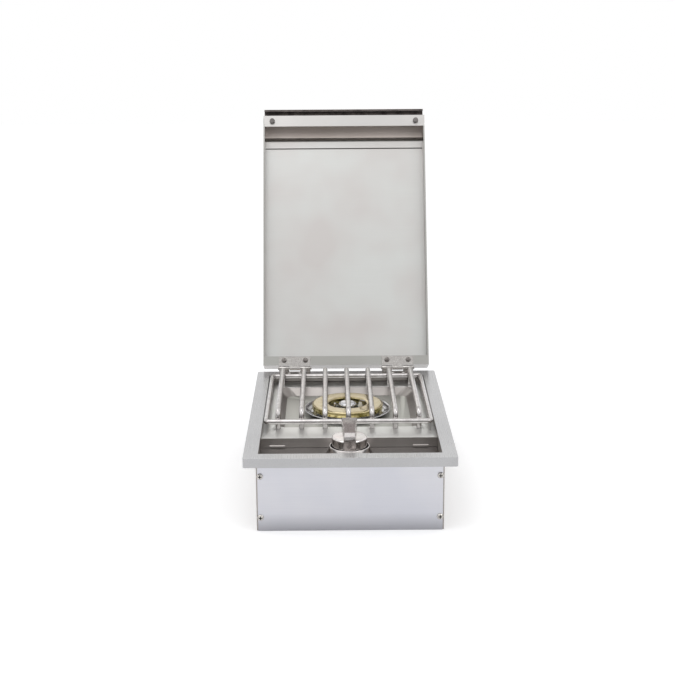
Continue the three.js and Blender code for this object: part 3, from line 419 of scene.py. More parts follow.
# %% [markdown]
# ## Sheet metal with round edges
# A press brake leaves a round fold wherever it bends a sheet, and the cut rim of a
# sheet is deburred. The frame's nodes have square edges. The loose triangles of a copy
# are joined, and its edges are then bevelled. An outer fold between two wide triangles
# gets a wide bevel. Rims, and folds beside a sliver that leaves no room for more, get a
# narrow one. The flat faces stay triangles, because one large face with holes in it can
# cross itself when its rims move. A strip with nothing cut out of it can have plain
# faces, each in one piece.

# %% Rounding folds
FOLD, RIM = 1.6, 0.3  # the wide bevel and the narrow one, in mm
THIN_FACE, LONG_EDGE = 3.0, 9.0  # a fold has wider faces than this, and is longer
CURVE_FACE, BEVEL_FACE = 4.0, 1.3  # faces of a round part, and of a bevel, are narrower


def face_width(face):
    return face.calc_area() / max(edge.calc_length() for edge in face.edges)


def is_curved(face):
    bends = [math.degrees(edge.calc_face_angle(0)) for edge in face.edges]
    return face_width(face) < CURVE_FACE * MM and any(2 < bend < 30 for bend in bends)


def clean_copy(node, plain_faces=False):
    shape = bmesh.new()
    shape.from_mesh(nodes[node].data)
    bmesh.ops.remove_doubles(shape, verts=shape.verts, dist=0.01 * MM)
    if plain_faces:
        bmesh.ops.dissolve_limit(
            shape, angle_limit=math.radians(0.5), verts=shape.verts, edges=shape.edges,
        )
        many_sided = [face for face in shape.faces if len(face.verts) > 4]
        bmesh.ops.triangulate(shape, faces=many_sided)
    for face in shape.faces:
        face.smooth = is_curved(face)
    return shape


def direction(face):
    return tuple(round(part, 2) for part in face.normal)


def bevelled(shape, edges, offset, steps, clamp=True):
    bmesh.ops.bevel(
        shape, geom=edges, offset=offset, segments=steps, profile=0.5, affect="EDGES",
        clamp_overlap=clamp,
    )


# Bevels the wanted edges. A narrow new face is smooth, unless it lies in a flat side.
def round_edges(shape, wanted, offset_mm, steps):
    flat = {direction(face) for face in shape.faces if not face.smooth}
    edges = [edge for edge in shape.edges if len(edge.link_faces) == 2 and wanted(edge)]
    if edges:
        bevelled(shape, edges, offset_mm * MM, steps)
        bmesh.ops.dissolve_degenerate(shape, dist=0.001 * MM, edges=shape.edges)
    for face in shape.faces:
        if face_width(face) < BEVEL_FACE * MM and direction(face) not in flat:
            face.smooth = True
    return len(edges)


def is_corner(edge):
    return edge.calc_face_angle(0) > math.radians(30)


def is_fold(edge):
    wide_faces = all(face_width(face) > THIN_FACE * MM for face in edge.link_faces)
    return is_corner(edge) and edge.calc_length() > LONG_EDGE * MM and wide_faces


def folded(node, finish, name=None, plain_faces=False):
    name = name or node + "_sheet"
    shape = clean_copy(node, plain_faces)
    folds = round_edges(shape, lambda edge: is_fold(edge) and edge.is_convex, FOLD, 3)
    rims = round_edges(shape, lambda edge: is_corner(edge) and not is_fold(edge), RIM, 1)
    print(f"{name}: {folds} folds and {rims} rims rounded")
    return new_piece(name, shape, finish, [node], smooth=False)


def second_finish(piece, finish, has_it):
    piece.data.materials.append(finish)
    for face in piece.data.polygons:
        if has_it(face):
            face.material_index = 1


# The folds of the frame's opening and the inside of the rear panel take the darker wall
# sheet: painted shade.
def faces_in_shade(face):
    inside = abs(face.center.x) < pan_high.x + MM and abs(face.center.y) < pan_high.y + MM
    return inside and abs(face.normal.z) < 0.5


second_finish(folded("trim_frame", frame_sheet), shade_wall_sheet, faces_in_shade)
folded("front_panel", panel_sheet)
second_finish(
    folded("rear_panel", panel_sheet),
    shade_wall_sheet, lambda face: face.normal.y < -0.5,
)
for name in ("left_side", "right_side"):
    folded(name + "_panel", mill_sheet, name=name + "_sheet")
folded("bottom_panel", mill_sheet, name="vented_floor_sheet")
folded("control_tray", tray_sheet)
# The basin's walls take the darker wall sheet: painted shade.
second_finish(
    folded("burner_pan", deck_sheet),
    shade_wall_sheet, lambda face: abs(face.normal.z) < 0.9,
)
folded("lid_liner", liner_sheet)
# The stiffener takes the lighter sheet: painted light.
folded("lid_stiffener", stiffener_sheet, plain_faces=True)

# The open lid's own axes in the frame: along its sheet, and out of its mouth.
LID_OPEN = math.radians(-113.25)
lid_turn = Matrix.Rotation(LID_OPEN, 4, "X")
lid_up = (lid_turn @ Vector((0, 0, 1))).normalized()
lid_back = (lid_turn @ Vector((0, 1, 0))).normalized()
liner_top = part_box("lid_liner")[1].z
# The skin's inner faces below the liner take the darker sheet: painted shade.
second_finish(
    folded("lid_skin", lid_sheet), shaded_inside_sheet,
    lambda face: face.normal.dot(lid_up) < -0.9 and face.center.z < liner_top,
)
# The pull's inner faces take the dark sheet: painted shade.
second_finish(
    folded("lid_pull", lid_sheet, plain_faces=True),
    pull_shade, lambda face: face.normal.dot(lid_up) < -0.9,
)

# %% [markdown]
# ## Turned pieces
# The burner's bowl, cap and ring, the bezel, the knob's skirt, the fasteners and the
# igniter's insulator are all round about one axis. Each is drawn as half an outline
# and turned about that axis, which is also how most of them are made. An arc replaces
# each corner of the outline, so that light runs round the edges.

# %% Turning an outline
def eased(outline, radius, closed, steps=4):
    points = [Vector(point) for point in outline]
    count = len(points)
    soft = []
    for i, corner in enumerate(points):
        if not closed and i in (0, count - 1):
            soft.append(corner)
            continue
        back, ahead = points[i - 1] - corner, points[(i + 1) % count] - corner
        reach = min(radius, back.length * 0.45, ahead.length * 0.45)
        start = corner + back.normalized() * reach
        end = corner + ahead.normalized() * reach
        for step in range(steps + 1):
            t = step / steps
            soft.append(start * (1 - t) ** 2 + corner * 2 * t * (1 - t) + end * t ** 2)
    return soft


def ring_of(shape, place, radius_mm, z_mm, count, sides):
    angles = [2 * math.pi * i / sides for i in range(count)]
    return [shape.verts.new(place @ Vector((
        radius_mm * MM * math.cos(angle), radius_mm * MM * math.sin(angle), z_mm * MM,
    ))) for angle in angles]


# The outline is (radius, height) in mm; an open one starts and ends on the axis, where
# a ring is one point, so that the faces there are triangles.
def turned(outline, place, radius=0.6, closed=False, sides=96):
    shape = bmesh.new()
    rings = [
        ring_of(shape, place, r, z, 1 if r < 0.001 else sides, sides)
        for r, z in eased(outline, radius, closed)
    ]
    for low, high in zip(rings, rings[1:] + (rings[:1] if closed else [])):
        for i in range(sides):
            j = (i + 1) % sides
            ends = ((low, i), (low, j), (high, j), (high, i))
            corners = list(dict.fromkeys(ring[k % len(ring)] for ring, k in ends))
            if len(corners) > 2:
                shape.faces.new(corners)
    bmesh.ops.recalc_face_normals(shape, faces=shape.faces)
    return shape


# The middle of a node's box, moved to the box's low (0) or high (1) side along an axis.
def spot(node, axis, side):
    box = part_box(node)
    point = [(a + b) / 2 for a, b in zip(*box)]
    point["XYZ".index(axis)] = box[side]["XYZ".index(axis)]
    return point


# The place where an upright turned piece starts, and the size that it has to fill.
def standing(node):
    low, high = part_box(node)
    return Matrix.Translation(spot(node, "Z", 0)), (high - low) / MM


place, size = standing("burner_bowl")
BOWL_SHEET, BOWL_HOLE, BOWL_FLOOR = 1.2, 34, 60
outer = size.x / 2
new_piece("spun_bowl", turned([
    (BOWL_HOLE, 0), (BOWL_FLOOR, 0), (outer, size.z - BOWL_SHEET), (outer - BOWL_SHEET, size.z),
    (BOWL_FLOOR - BOWL_SHEET, BOWL_SHEET), (BOWL_HOLE, BOWL_SHEET),
], place, radius=2.5, closed=True, sides=128), bowl_steel, ["burner_bowl"])

place, size = standing("burner_hub")
CAP_RADIUS, CAP_STEM, CAP_DOME, CAP_SHEET = size.x / 2, 5, 6, 3
cap_rim = size.z - CAP_DOME
new_piece("burner_cap", turned([
    (0, 0), (CAP_STEM, 0), (CAP_STEM, cap_rim - CAP_SHEET), (CAP_RADIUS, cap_rim - CAP_SHEET),
    (CAP_RADIUS, cap_rim), (CAP_RADIUS * 0.93, cap_rim + CAP_DOME * 0.38),
    (CAP_RADIUS * 0.7, cap_rim + CAP_DOME * 0.72), (CAP_RADIUS * 0.38, cap_rim + CAP_DOME * 0.93),
    (0, size.z),
], place, radius=2), bowl_steel, ["burner_hub"])

place, size = standing("knob_bezel")
BEZEL_SHEET, BEZEL_RIM, BEZEL_NECK, BEZEL_WAIST = 1.2, 4, 29.5, 13
foot = size.x / 2
waist = BEZEL_NECK + (foot - BEZEL_RIM - BEZEL_NECK) * 0.28
new_piece("flared_bezel", turned([
    (foot, 0), (foot, BEZEL_SHEET), (foot - BEZEL_RIM, BEZEL_SHEET * 1.6), (waist, BEZEL_WAIST),
    (BEZEL_NECK, size.z), (BEZEL_NECK - BEZEL_SHEET, size.z), (waist - BEZEL_SHEET, BEZEL_WAIST),
    (foot - BEZEL_RIM - BEZEL_SHEET, 0),
], place, radius=3, closed=True, sides=128), knob_chrome, ["knob_bezel"])

place, size = standing("igniter_insulator")
body, neck = size.x / 2, 2.4
new_piece("igniter_ceramic", turned([
    (0, 0), (body, 0), (body, 3), (body - 0.5, 3.6), (body, 4.2), (body, 9),
    (neck, size.z), (0, size.z),
], place, radius=0.5, sides=40), glaze, ["igniter_insulator"])

place, size = standing("flame_probe")
nut, rod = size.x / 2, 2
new_piece("flame_probe_rod", turned([
    (0, 0), (nut, 0), (nut, 5), (rod, 5), (rod, size.z - 1.4), (0, size.z),
], place, radius=0.7, sides=40), fastener_steel, ["flame_probe"])
print("turned:", {name: made[name] for name in ("spun_bowl", "burner_cap", "flared_bezel")})

# %% [markdown]
# ## The burner ring and its flame ports
# Gas leaves the ring through thirty-six slots that are milled in its outer side. The
# slots follow a rule, so Geometry Nodes cut them: one block is copied to the points of
# a circle, turned to face outwards, and all the copies are cut from the turned ring.

# %% Geometry Nodes helpers
def new_tree(name, sizes):
    tree = bpy.data.node_groups.new(name, "GeometryNodeTree")
    tree.interface.new_socket("Geometry", in_out="INPUT", socket_type="NodeSocketGeometry")
    for title, kind in {**sizes, "Finish": "Material"}.items():
        tree.interface.new_socket(title, in_out="INPUT", socket_type="NodeSocket" + kind)
    tree.interface.new_socket("Geometry", in_out="OUTPUT", socket_type="NodeSocketGeometry")
    return tree, tree.nodes.new("NodeGroupInput").outputs


def painted(tree, geometry, finish):
    return result(tree, "GeometryNodeSetMaterial", {"Geometry": geometry, "Material": finish})


def repeated(tree, points, instance, **more):
    return result(tree, "GeometryNodeInstanceOnPoints", {
        "Points": points, "Instance": instance, **more,
    })


def end_tree(tree, geometry, finish=None):
    last = result(tree, "GeometryNodeRealizeInstances", {"Geometry": geometry})
    if finish:
        last = painted(tree, last, finish)
    tree.links.new(last, tree.nodes.new("NodeGroupOutput").inputs[0])


def run_tree(name, base, tree, values, replaced, corner=35):
    obj = new_object(name, base)
    modifier = obj.modifiers.new(tree.name, "NODES")
    modifier.node_group = tree
    for item in tree.interface.items_tree:
        if item.in_out == "INPUT" and item.name in values:
            modifier[item.identifier] = values[item.name]
    graph = bpy.context.evaluated_depsgraph_get()
    obj.data = bpy.data.meshes.new_from_object(obj.evaluated_get(graph), depsgraph=graph)
    obj.modifiers.clear()
    return finish_piece(obj, values["Finish"], replaced, corner)


def plain_mesh(name, points, edges=()):
    mesh = bpy.data.meshes.new(name)
    mesh.from_pydata([tuple(point) for point in points], list(edges), [])
    return mesh

# %% Burner ring
ring_tree, sizes = new_tree("Flame ports round a ring", {
    "Ports": "Int", "Centre": "Vector", "Radius": "Float", "Port size": "Vector",
})
circle = result(ring_tree, "GeometryNodeMeshCircle", {
    "Vertices": sizes["Ports"], "Radius": sizes["Radius"],
})
outward = result(ring_tree, "FunctionNodeAlignRotationToVector", {
    "Vector": result(ring_tree, "GeometryNodeInputPosition"),
}, axis="X")
cutter = result(ring_tree, "GeometryNodeMeshCube", {"Size": sizes["Port size"]})
cutters = repeated(ring_tree, circle, cutter, Rotation=outward)
placed = result(ring_tree, "GeometryNodeTransform", {
    "Geometry": cutters, "Translation": sizes["Centre"],
})
ported = result(ring_tree, "GeometryNodeMeshBoolean", {
    "Mesh 1": sizes["Geometry"], "Mesh 2": placed,
}, operation="DIFFERENCE")
end_tree(ring_tree, ported, sizes["Finish"])

PORTS, PORT_WIDTH, PORT_HEIGHT, PORT_DEPTH = 36, 2.4, 4.2, 3
PORT_OVERRUN = 2  # how far a cutter reaches below the ring, so that the slot is open
RING_HOLE, RING_CROWN = 30, 1.6
place, size = standing("burner_ring")
outer = size.x / 2
ring_shape = turned([
    (RING_HOLE, 0), (outer, 0), (outer, size.z - RING_CROWN), (outer - PORT_DEPTH, size.z),
    (RING_HOLE + PORT_DEPTH, size.z), (RING_HOLE, size.z - RING_CROWN),
], place, radius=1.4, closed=True, sides=PORTS * 4)
port_middle = ring_low.z + (PORT_HEIGHT - PORT_OVERRUN) * MM / 2
run_tree("ported_brass_ring", mesh_of("ring_blank", ring_shape), ring_tree, {
    "Ports": PORTS,
    "Centre": (burner_axis.x, burner_axis.y, port_middle),
    "Radius": outer * MM,
    "Port size": (PORT_DEPTH * 2 * MM, PORT_WIDTH * MM, (PORT_HEIGHT + PORT_OVERRUN) * MM),
    "Finish": ring_brass,
}, ["burner_ring"])
print("ring:", made["ported_brass_ring"], "faces with", PORTS, "ports")

# %% [markdown]
# ## The cooking grate
# The grate is seven long rods whose ends are bent down to feet, welded inside a frame
# of the same rod. Every rod is a wire path with its corners bent to a radius and a
# round section carried along it. One tree does that for any path, and it repeats the
# path at a pitch, so it also bends the frame, the igniter's tip and the gas pipe.

# %% Bent rods
rod_tree, sizes = new_tree("Bent rods at a pitch", {
    "Rod radius": "Float", "Bend radius": "Float", "Count": "Int", "Pitch": "Vector",
})
wire = result(rod_tree, "GeometryNodeMeshToCurve", {"Mesh": sizes["Geometry"]})
bent = result(rod_tree, "GeometryNodeFilletCurve", {
    "Curve": wire, "Count": 8, "Radius": sizes["Bend radius"], "Limit Radius": True,
}, mode="POLY")
section = result(rod_tree, "GeometryNodeCurvePrimitiveCircle", {
    "Resolution": 20, "Radius": sizes["Rod radius"],
})
one_rod = result(rod_tree, "GeometryNodeCurveToMesh", {
    "Curve": bent, "Profile Curve": section, "Fill Caps": True,
})
row = result(rod_tree, "GeometryNodeMeshLine", {"Count": sizes["Count"], "Offset": sizes["Pitch"]})
end_tree(rod_tree, repeated(rod_tree, row, one_rod), sizes["Finish"])


def bent_rod(name, node, corners, radius, bend, finish, count=1, pitch=0, closed=False):
    edges = [(i, i + 1) for i in range(len(corners) - 1)]
    if closed:
        edges.append((len(corners) - 1, 0))
    run_tree(name, plain_mesh(name + "_path", corners, edges), rod_tree, {
        "Rod radius": radius, "Bend radius": bend, "Count": count, "Pitch": (pitch, 0, 0),
        "Finish": finish,
    }, [node], corner=50)


GRATE_ROD, GRATE_BEND, GRATE_CORNER = 4 * MM, 9 * MM, 6 * MM
GRATE_RODS, GRATE_PITCH = 7, 36 * MM
low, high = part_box("cooking_grate")
frame_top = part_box("trim_frame")[1].z
leg = GRATE_ROD * 3 - 0.6 * MM
first = -GRATE_PITCH * (GRATE_RODS - 1) / 2
rod_top = high.z - GRATE_ROD
front_leg, rear_leg = low.y + leg, high.y - leg
bent_rod("grate_long_rods", "cooking_grate", [
    (first, front_leg, low.z), (first, front_leg, rod_top),
    (first, rear_leg, rod_top), (first, rear_leg, low.z),
], GRATE_ROD, GRATE_BEND, rod_steel, GRATE_RODS, GRATE_PITCH)

side = high.x - GRATE_ROD
front_rod, rear_rod = low.y + GRATE_ROD, high.y - GRATE_ROD
bent_rod("grate_frame_rod", "cooking_grate", [
    (side, front_rod, frame_top), (side, rear_rod, frame_top),
    (-side, rear_rod, frame_top), (-side, front_rod, frame_top),
], GRATE_ROD, GRATE_CORNER, rod_steel, closed=True)
print("grate:", made["grate_long_rods"] + made["grate_frame_rod"], "faces")

# %% [markdown]
# Each leg is welded to the frame rod where they touch. A weld is a small bead, a
# little different at each joint, so a tree puts a rounded blob at every joint and
# varies its size with a fixed seed.

# %% Weld beads
bead_tree, sizes = new_tree("Weld beads at joints", {"Bead radius": "Float", "Seed": "Int"})
blob = result(bead_tree, "GeometryNodeMeshIcoSphere", {
    "Radius": sizes["Bead radius"], "Subdivisions": 3,
})
vary = result(bead_tree, "FunctionNodeRandomValue", {
    0: (0.9, 0.6, 1.0), 1: (1.2, 0.8, 1.5), "Seed": sizes["Seed"],
}, data_type="FLOAT_VECTOR")
beads = repeated(bead_tree, sizes["Geometry"], blob, Scale=vary)
end_tree(bead_tree, beads, sizes["Finish"])

BEAD, BEAD_SIDE = 2.4 * MM, GRATE_ROD * 0.6
joints = [
    (first + GRATE_PITCH * i + side, y, frame_top + MM)
    for i in range(GRATE_RODS)
    for y in ((front_leg + front_rod) / 2, (rear_leg + rear_rod) / 2)
    for side in (-BEAD_SIDE, BEAD_SIDE)
]
run_tree("grate_weld_beads", plain_mesh("weld_points", joints), bead_tree, {
    "Bead radius": BEAD, "Seed": 7, "Finish": fastener_steel,
}, ["cooking_grate"], corner=80)

# %% Igniter tip and gas pipe
low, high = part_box("igniter_tip")
TIP_ROD, TIP_BEND, TIP_REACH = 1.1 * MM, 1.6 * MM, 9 * MM
foot_x, foot_y = spot("igniter_insulator", "Z", 1)[:2]
reach = Vector((foot_x - burner_axis.x, foot_y - burner_axis.y, 0)).normalized() * TIP_REACH
tip_top = high.z - TIP_ROD
bent_rod("igniter_wire", "igniter_tip", [
    (foot_x, foot_y, low.z), (foot_x, foot_y, tip_top),
    (foot_x + reach.x, foot_y + reach.y, tip_top),
], TIP_ROD, TIP_BEND, fastener_steel)

low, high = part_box("gas_inlet_pipe")
PIPE_RADIUS, PIPE_BEND = 6.3 * MM, 16 * MM
pipe_z, pipe_x, pipe_y = (low.z + high.z) / 2, high.x - PIPE_RADIUS, low.y + PIPE_RADIUS
bent_rod("gas_inlet_tube", "gas_inlet_pipe", [
    (low.x, pipe_y, pipe_z), (pipe_x, pipe_y, pipe_z), (pipe_x, high.y, pipe_z),
], PIPE_RADIUS, PIPE_BEND, mill_sheet)
print("tip and pipe:", made["igniter_wire"] + made["gas_inlet_tube"], "faces")

# %% [markdown]
# ## The control knob
# The knob is one chromium-plated casting: a round skirt, and across it a grip that
# widens to the rear and turns down over the skirt in front. The skirt is turned, and
# the grip is the hull of a few measured points with its edges rounded, as a pattern
# maker would file a block.

# %% Control knob
place, size = standing("control_knob")
SKIRT, SKIRT_TOP, SKIRT_HEIGHT, SKIRT_WALL, SKIRT_ROOF = size.x / 2, 24.5, 30.5, 3, 8
ceiling = SKIRT_HEIGHT - SKIRT_ROOF
skirt_shape = turned([
    (0, ceiling), (SKIRT - SKIRT_WALL, ceiling), (SKIRT - SKIRT_WALL, 0), (SKIRT, 0),
    (SKIRT - 0.5, SKIRT_HEIGHT - 2), (SKIRT_TOP, SKIRT_HEIGHT), (0, SKIRT_HEIGHT + 2),
], place, radius=1.2, sides=128)

# The grip's half width, its place along y and its height, from the rear to the nose.
GRIP_REAR, GRIP_NOSE, GRIP_FLOOR, FILED = 24.5, -26.5, 0.5, 1.2
grip_points = [
    (11.5, GRIP_REAR, GRIP_FLOOR), (11.5, GRIP_REAR, size.z), (8.2, -6, size.z),
    (7.4, -16, size.z - 3), (7.8, GRIP_NOSE, SKIRT_HEIGHT + 13.5),
    (9.2, GRIP_NOSE, ceiling), (9.2, GRIP_NOSE, GRIP_FLOOR),
]
grip = bmesh.new()
for half, y, z in grip_points:
    for x in (-half, half):
        grip.verts.new((x, y, z))
hull = bmesh.ops.convex_hull(grip, input=grip.verts)
inside = [item for item in hull["geom_interior"] if isinstance(item, bmesh.types.BMVert)]
bmesh.ops.delete(grip, geom=inside, context="VERTS")
bmesh.ops.recalc_face_normals(grip, faces=grip.faces)
bmesh.ops.dissolve_limit(
    grip, angle_limit=math.radians(1), verts=grip.verts, edges=grip.edges,
)
filed = [edge for edge in grip.edges if edge.calc_face_angle(0) > math.radians(14)]
bevelled(grip, filed, FILED, 4)
bmesh.ops.transform(grip, matrix=place @ Matrix.Scale(MM, 4), verts=grip.verts)
skirt_shape.from_mesh(mesh_of("grip", grip))
knob = new_piece(
    "plated_knob", skirt_shape, knob_chrome, ["control_knob"], corner=30,
)
shoulder = (place @ Vector((0, 0, (SKIRT_HEIGHT + 3) * MM))).z
second_finish(knob, grip_satin, lambda face: face.center.z > shoulder and face.normal.z > 0.6)
print("knob:", made["plated_knob"], "faces")

# %% [markdown]
# ## Screws, bolts and rivets
# Eight cross-recessed screws hold the front and rear panels, two hexagon-headed screws
# hold the burner down, and bolts and rivets hold the hinges. A head is turned once and
# copied by a tree to each place, which is read from the frame. A second tree cuts the
# cross recess first, and gives it a dark finish: painted shade in the hollow.

# %% Screw trees
copy_tree, sizes = new_tree("Copies at places", {"Pattern": "Object"})
pattern = add(copy_tree, "GeometryNodeObjectInfo", {"Object": sizes["Pattern"]})
copies = repeated(copy_tree, sizes["Geometry"], pattern.outputs["Geometry"])
end_tree(copy_tree, copies, sizes["Finish"])

cross_tree, sizes = new_tree("Cross-recessed screws at places", {
    "Pattern": "Object", "Recess": "Vector", "Cross recess": "Vector", "Recess finish": "Material",
})
pattern = add(cross_tree, "GeometryNodeObjectInfo", {"Object": sizes["Pattern"]})
bright = painted(cross_tree, pattern.outputs["Geometry"], sizes["Finish"])
# The recess takes a dark finish: painted shade in the hollow.
arms = []
for title in ("Recess", "Cross recess"):
    arm = result(cross_tree, "GeometryNodeMeshCube", {"Size": sizes[title]})
    arms.append(painted(cross_tree, arm, sizes["Recess finish"]))
recessed = result(cross_tree, "GeometryNodeMeshBoolean", {
    "Mesh 1": bright, "Mesh 2": arms,
}, operation="DIFFERENCE")
end_tree(cross_tree, repeated(cross_tree, sizes["Geometry"], recessed))


# Copies of one turned pattern at many places, as one piece that stands for the nodes.
def copied(name, shape, places, finish, replaced, tree=copy_tree, values=None):
    pattern_object = new_object(name + "_pattern", mesh_of(name + "_pattern", shape))
    run_tree(name, plain_mesh(name + "_places", places), tree, {
        "Pattern": pattern_object, "Finish": finish, **(values or {}),
    }, replaced)
    bpy.data.objects.remove(pattern_object)

# %% Panel screws
HEAD, HEAD_HEIGHT, SHANK, SCREW_LENGTH = 4.9, 2.6, 2.3, 7
RECESS_LENGTH, RECESS_WIDTH, RECESS_DEPTH = 5.6 * MM, 1.5 * MM, 1.0 * MM
tip = -SCREW_LENGTH - HEAD_HEIGHT
for side, word in enumerate(("front", "rear")):
    names = [f"{word}_screw_{i}" for i in (1, 2, 3, 4)]
    places = [spot(name, "Y", side) for name in names]
    head = turned([
        (0, 0), (HEAD * 0.55, 0), (HEAD * 0.86, -HEAD_HEIGHT * 0.4), (HEAD, -HEAD_HEIGHT),
        (SHANK, -HEAD_HEIGHT), (SHANK, tip + 0.5), (0, tip),
    ], Matrix.Rotation(math.pi / 2 * (1 - 2 * side), 4, "X"), radius=0.7, sides=48)
    title = f"{word}_panel_screws"
    copied(title, head, places, screw_nickel, names, cross_tree, {
        "Recess": (RECESS_LENGTH, RECESS_DEPTH * 2, RECESS_WIDTH),
        "Cross recess": (RECESS_WIDTH, RECESS_DEPTH * 2, RECESS_LENGTH),
        "Recess finish": recess_shade,
    })
print("panel screws:", made["front_panel_screws"] + made["rear_panel_screws"], "faces")

# %% Burner screws, hinge rivets and lid bolts
def hexagon(shape, radius_mm, low_z, high_z, place):
    below, above = (ring_of(shape, place, radius_mm, z, 6, 6) for z in (low_z, high_z))
    faces = [shape.faces.new(below[::-1]), shape.faces.new(above)]
    for i in range(6):
        j = (i + 1) % 6
        faces.append(shape.faces.new([below[i], below[j], above[j], above[i]]))
    edges = list({edge for face in faces for edge in face.edges})
    bevelled(shape, edges, 0.35 * MM, 2, clamp=False)


names = ["burner_screw_1", "burner_screw_2"]
length = standing(names[0])[1].z
SCREW, SCREW_HEX, HEX_HEIGHT = 1.9, 4, 2.4
shape = turned([
    (0, 1), (SCREW, 1), (SCREW, length - 0.4), (0, length),
], Matrix(), radius=0.3, sides=24)
hexagon(shape, SCREW_HEX, 0, HEX_HEIGHT, Matrix())
places = [spot(name, "Z", 0) for name in names]
copied("burner_hex_screws", shape, places, fastener_steel, names)

names = [f"hinge_rivet_{i}" for i in (1, 2, 3, 4)]
length = standing(names[0])[1].z
RIVET, RIVET_HEIGHT, RIVET_SHANK = 3.2, 1.5, 1.6
shape = turned([
    (0, 0), (RIVET * 0.6, -0.25), (RIVET * 0.95, -RIVET_HEIGHT * 0.7), (RIVET, -RIVET_HEIGHT),
    (RIVET_SHANK, -RIVET_HEIGHT), (RIVET_SHANK, RIVET_HEIGHT - length),
    (RIVET, RIVET_HEIGHT - length), (RIVET * 0.6, 0.25 - length), (0, -length),
], Matrix(), radius=0.4, sides=32)
places = [spot(name, "Z", 1) for name in names]
copied("hinge_rivets", shape, places, fastener_steel, names)


# The low end of a lid node on its own axis, and its length, both along the lid's up.
def lid_place(node):
    points = [vertex.co for vertex in nodes[node].data.vertices]
    ends = []
    for axis in (Vector((1, 0, 0)), lid_back, lid_up):
        spans = [point.dot(axis) for point in points]
        ends.append((min(spans), max(spans)))
    across = Vector((1, 0, 0)) * sum(ends[0]) / 2 + lid_back * sum(ends[1]) / 2
    return across + lid_up * ends[2][0], (ends[2][1] - ends[2][0]) / MM


names = [f"lid_bolt_{i}" for i in (1, 2, 3, 4)]
length = lid_place(names[0])[1]
BOLT, BOLT_HEIGHT, BOLT_SHANK, BOLT_NUT, NUT_HEIGHT = 4.5, 2.2, 2, 4.2, 3.2
shape = turned([
    (0, 0), (BOLT * 0.62, 0.4), (BOLT * 0.93, BOLT_HEIGHT * 0.6), (BOLT, BOLT_HEIGHT),
    (BOLT_SHANK, BOLT_HEIGHT), (BOLT_SHANK, length - 0.3), (0, length),
], lid_turn, radius=0.4, sides=32)
hexagon(shape, BOLT_NUT, length - NUT_HEIGHT, length - 0.1, lid_turn)
places = [lid_place(name)[0] for name in names]
copied("lid_hinge_bolts", shape, places, bolt_steel, names)

names = ["lid_bumper_left", "lid_bumper_right"]
length = lid_place(names[0])[1]
FOOT, BUMPER, PEG, PEG_HEAD, HEAD_END, NECK_END = 4, 4.9, 2.2, 3.4, 2, 4.1
shape = turned([
    (0, 0), (FOOT, 0), (BUMPER, length - NECK_END - 0.8), (PEG, length - NECK_END),
    (PEG, length - HEAD_END), (PEG_HEAD, length - HEAD_END), (PEG, length), (0, length),
], lid_turn, radius=0.7, sides=40)
places = [lid_place(name)[0] for name in names]
copied("lid_bumpers", shape, places, bumper_rubber, names)
fastened = ("burner_hex_screws", "hinge_rivets", "lid_hinge_bolts", "lid_bumpers")
print("fasteners and bumpers:", {name: made[name] for name in fastened})

# %% [markdown]
# ## Hinges, valve and the pieces under the deck
# The hinge leaves are thick plated strip, rolled round their pins, and the valve and
# its nozzle are machined from bar. Their nodes have the right shape, so a copy only
# gets small round edges. The castings of the burner are treated in the same way, with
# a wider edge, because a sand mould can't hold a sharp one.

# %% Rounded copies
def rounded(name, node, finish, edge_mm, corner=35, plain_faces=False):
    shape = clean_copy(node, plain_faces)
    count = round_edges(shape, is_corner, edge_mm, 2)
    print(f"{name}: {count} edges rounded")
    return new_piece(name, shape, finish, [node], corner, smooth=False)


for side_word in ("left", "right"):
    for leaf in ("fixed_leaf", "moving_leaf"):
        node = f"{side_word}_hinge_{leaf}"
        rounded(node + "_strip", node, fastener_steel, 0.3, plain_faces=True)
    node = f"{side_word}_hinge_pin"
    rounded(node + "_bar", node, fastener_steel, 0.3)
rounded("valve_body", "gas_valve", fitting_brass, 0.8)
rounded("nozzle", "gas_orifice", fitting_brass, 0.3)
rounded("stem_bar", "valve_stem", fitting_brass, 0.4)
rounded("stem_collar_ring", "stem_collar", mill_sheet, 0.3)
rounded("cast_burner_body", "burner_base", cast_alloy, 0.8)
rounded("cast_mixing_tube", "mixing_tube", cast_alloy, 0.5)
rounded("air_shutter_band", "air_shutter", mill_sheet, 0.3)

# %% [markdown]
# ## The gas inlet fitting
# The gas line screws on here. The fitting has a hexagon for a spanner and a thread
# behind it. The thread is drawn as rings, not as a helix, because at this size they
# look the same and rings close on themselves.

# %% Gas inlet fitting
low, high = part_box("gas_inlet_fitting")
length, hex_corner = (high.y - low.y) / MM, (high.z - low.z) / MM / 2
HEX_LENGTH, HEX_CHAMFER, BORE = 11, 1.8, 4.6
THREAD, THREAD_DEPTH, THREAD_PITCH = 8.5, 0.9, 1.8
outline = [
    (BORE, 0), (hex_corner - HEX_CHAMFER, 0), (hex_corner, 1), (hex_corner, HEX_LENGTH - 1),
    (hex_corner - HEX_CHAMFER, HEX_LENGTH), (THREAD - 1, HEX_LENGTH),
]
z = HEX_LENGTH + 1
while z + THREAD_PITCH < length - 0.6:
    outline += [(THREAD - THREAD_DEPTH, z), (THREAD, z + THREAD_PITCH / 2)]
    z += THREAD_PITCH
outline += [(THREAD - THREAD_DEPTH, length - 1), (THREAD - 1.6, length), (BORE, length)]
shape = turned(outline, Matrix(), radius=0.2, closed=True)
